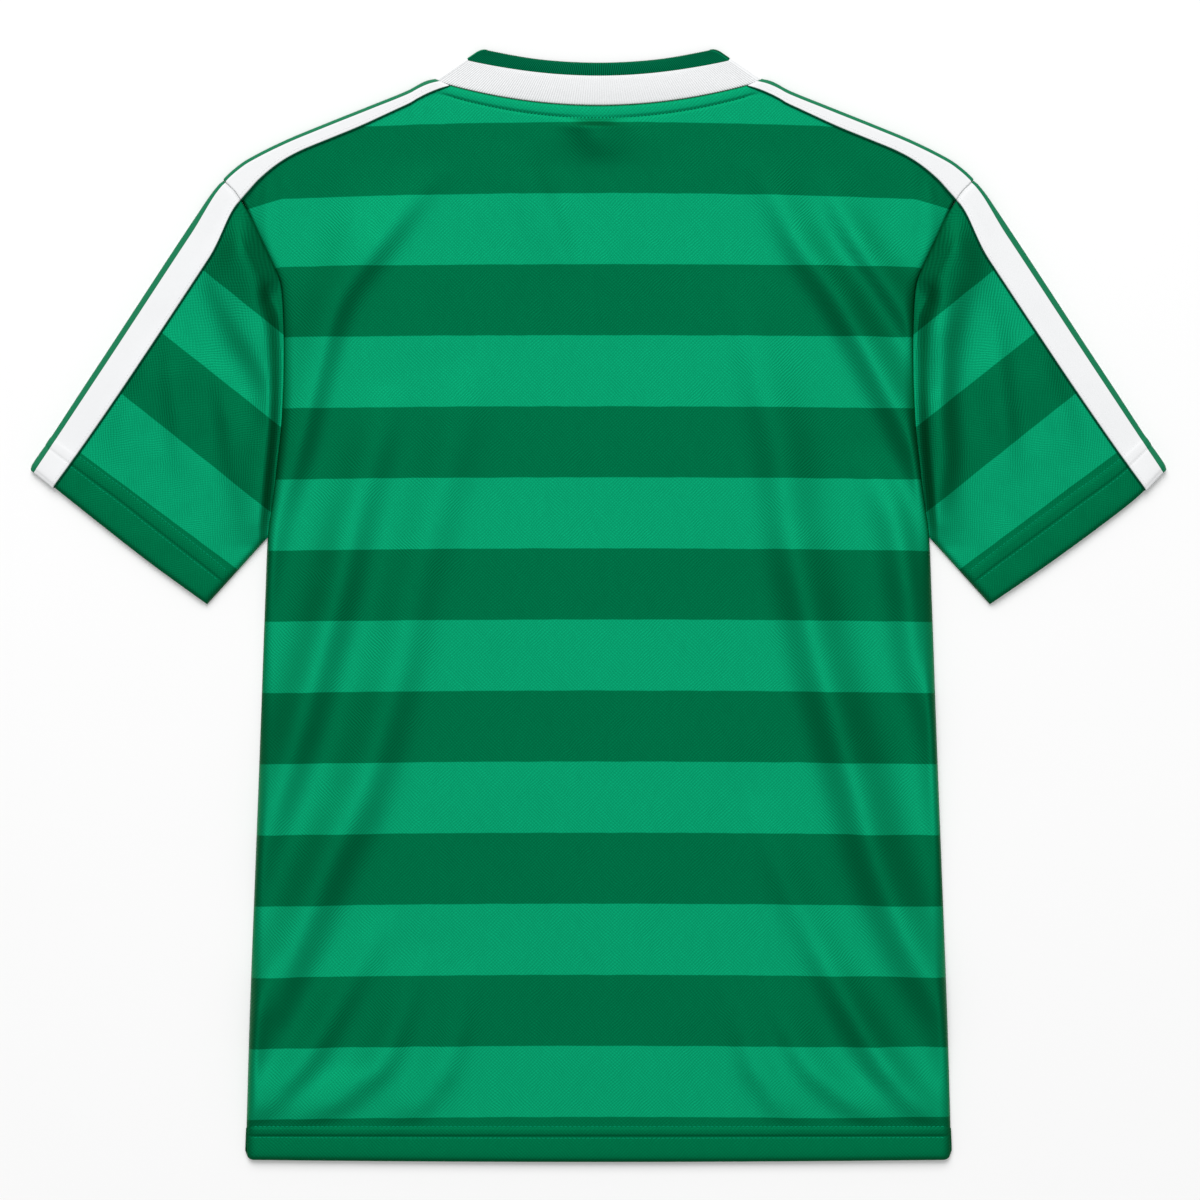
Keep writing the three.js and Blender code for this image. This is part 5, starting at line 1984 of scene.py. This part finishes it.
@dataclass
class Studio:
    """The plain pale floor, the soft light and the camera above.

    Attributes:
        photo_mm_per_pixel, photo_pixels: The photo's scale and its width.
        centre: What the photo's middle looks at, in millimetres.
        distance: The camera's distance above the cloth, in metres.
        sensor: The camera's sensor width.
        floor_drop: How far the floor lies below the cloth, in metres.
        lights: Each light's name, place and size in metres, and power.
        air: The strength of the light from all around.
    """

    photo_mm_per_pixel: float = 0.70
    photo_pixels: float = 1200.0
    centre: tuple[float, float] = (1.05, 3.15)
    distance: float = 3.2
    sensor: float = 36.0
    floor_drop: float = 0.0004
    lights: tuple[tuple[str, tuple[float, float, float], float, float], ...] = (
        ("key", (-0.8, 5.6, 6.1), 6.0, 565),
        ("overhead", (0.2, -0.9, 8), 3.0, 138),
    )
    air: float = 0.36

    def floor(self) -> None:
        """Lays the floor."""
        bm = bmesh.new()
        bmesh.ops.create_grid(bm, x_segments=1, y_segments=1, size=20)
        mesh = bpy.data.meshes.new("floor")
        bm.to_mesh(mesh)
        bm.free()
        material, sketch, shader = start_material("floor_paint")
        place = sketch.add("ShaderNodeTexCoord").outputs["Object"]
        tone = sketch.math("MULTIPLY_ADD", sketch.noise(place, 3.0), 0.02, 0.9)
        grey = sketch.add("ShaderNodeCombineColor")
        for socket in grey.inputs:
            sketch.feed(socket, tone)
        sketch.feed(shader.inputs["Base Color"], grey.outputs[0])
        shader.inputs["Roughness"].default_value = 0.9
        shader.inputs["Specular IOR Level"].default_value = 0.1
        mesh.materials.append(material)
        floor = link("floor", mesh)
        floor.location.z = -self.floor_drop
        floor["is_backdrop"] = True

    def light(self, name: str, place: tuple[float, float, float], size: float, power: float) -> None:
        """Hangs a soft square light that looks at the garment."""
        lamp = bpy.data.lights.new(name, "AREA")
        lamp.shape = "SQUARE"
        lamp.size = size
        lamp.energy = power
        holder = link(name, lamp)
        holder.location = place
        holder.rotation_euler = (-Vector(place)).to_track_quat("-Z", "Y").to_euler()

    def camera(self) -> None:
        """Sets the camera above, framed as the photo is."""
        view = bpy.data.cameras.new("camera")
        view.sensor_fit = "HORIZONTAL"
        view.sensor_width = self.sensor
        field_width = self.photo_pixels * self.photo_mm_per_pixel * MM
        view.lens = self.sensor * self.distance / field_width
        view.clip_end = 100
        holder = link("camera", view)
        holder.location = (self.centre[0] * MM, self.centre[1] * MM, self.distance + BACK_REST * MM)
        bpy.context.scene.camera = holder

    def build(self) -> None:
        """Sets up the whole studio."""
        self.floor()
        for light in self.lights:
            self.light(*light)
        world = bpy.data.worlds.new("studio_air")
        world.use_nodes = True
        background = world.node_tree.nodes["Background"]
        background.inputs["Color"].default_value = PLAIN
        background.inputs["Strength"].default_value = self.air
        bpy.context.scene.world = world
        bpy.context.scene.view_settings.view_transform = "Standard"
        self.camera()


@dataclass
class Jersey:
    """The whole garment."""

    table: Table
    wardrobe: Wardrobe

    def build(self) -> None:
        """Builds every piece in the order in which they lie on each other."""
        Front(self.table).build(self.wardrobe)
        back = Back(self.table)
        back.build(self.wardrobe)
        for side in Side:
            sleeve = Sleeve(self.table, side)
            sleeve.build(self.wardrobe)
            SleeveTape(sleeve).build(self.wardrobe)
            ShoulderTape(back, sleeve).build(self.wardrobe)
        Collar(self.table).build(self.wardrobe)


def corners(box: Iterable[Vector]) -> list[list[float]]:
    """A box as plain lists of numbers."""
    return [list(corner) for corner in box]


def main() -> None:
    """Loads the frame, builds the jersey and its studio, and works out both boxes."""
    logging.basicConfig(level=logging.INFO, format="%(name)s: %(message)s")
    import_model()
    cad_box = corners(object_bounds())
    Jersey(Table(), Wardrobe()).build()
    Studio().build()
    {"cad": cad_box, "visual": corners(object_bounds())}
    log.info("boxes written")


if __name__ == "__main__":
    main()
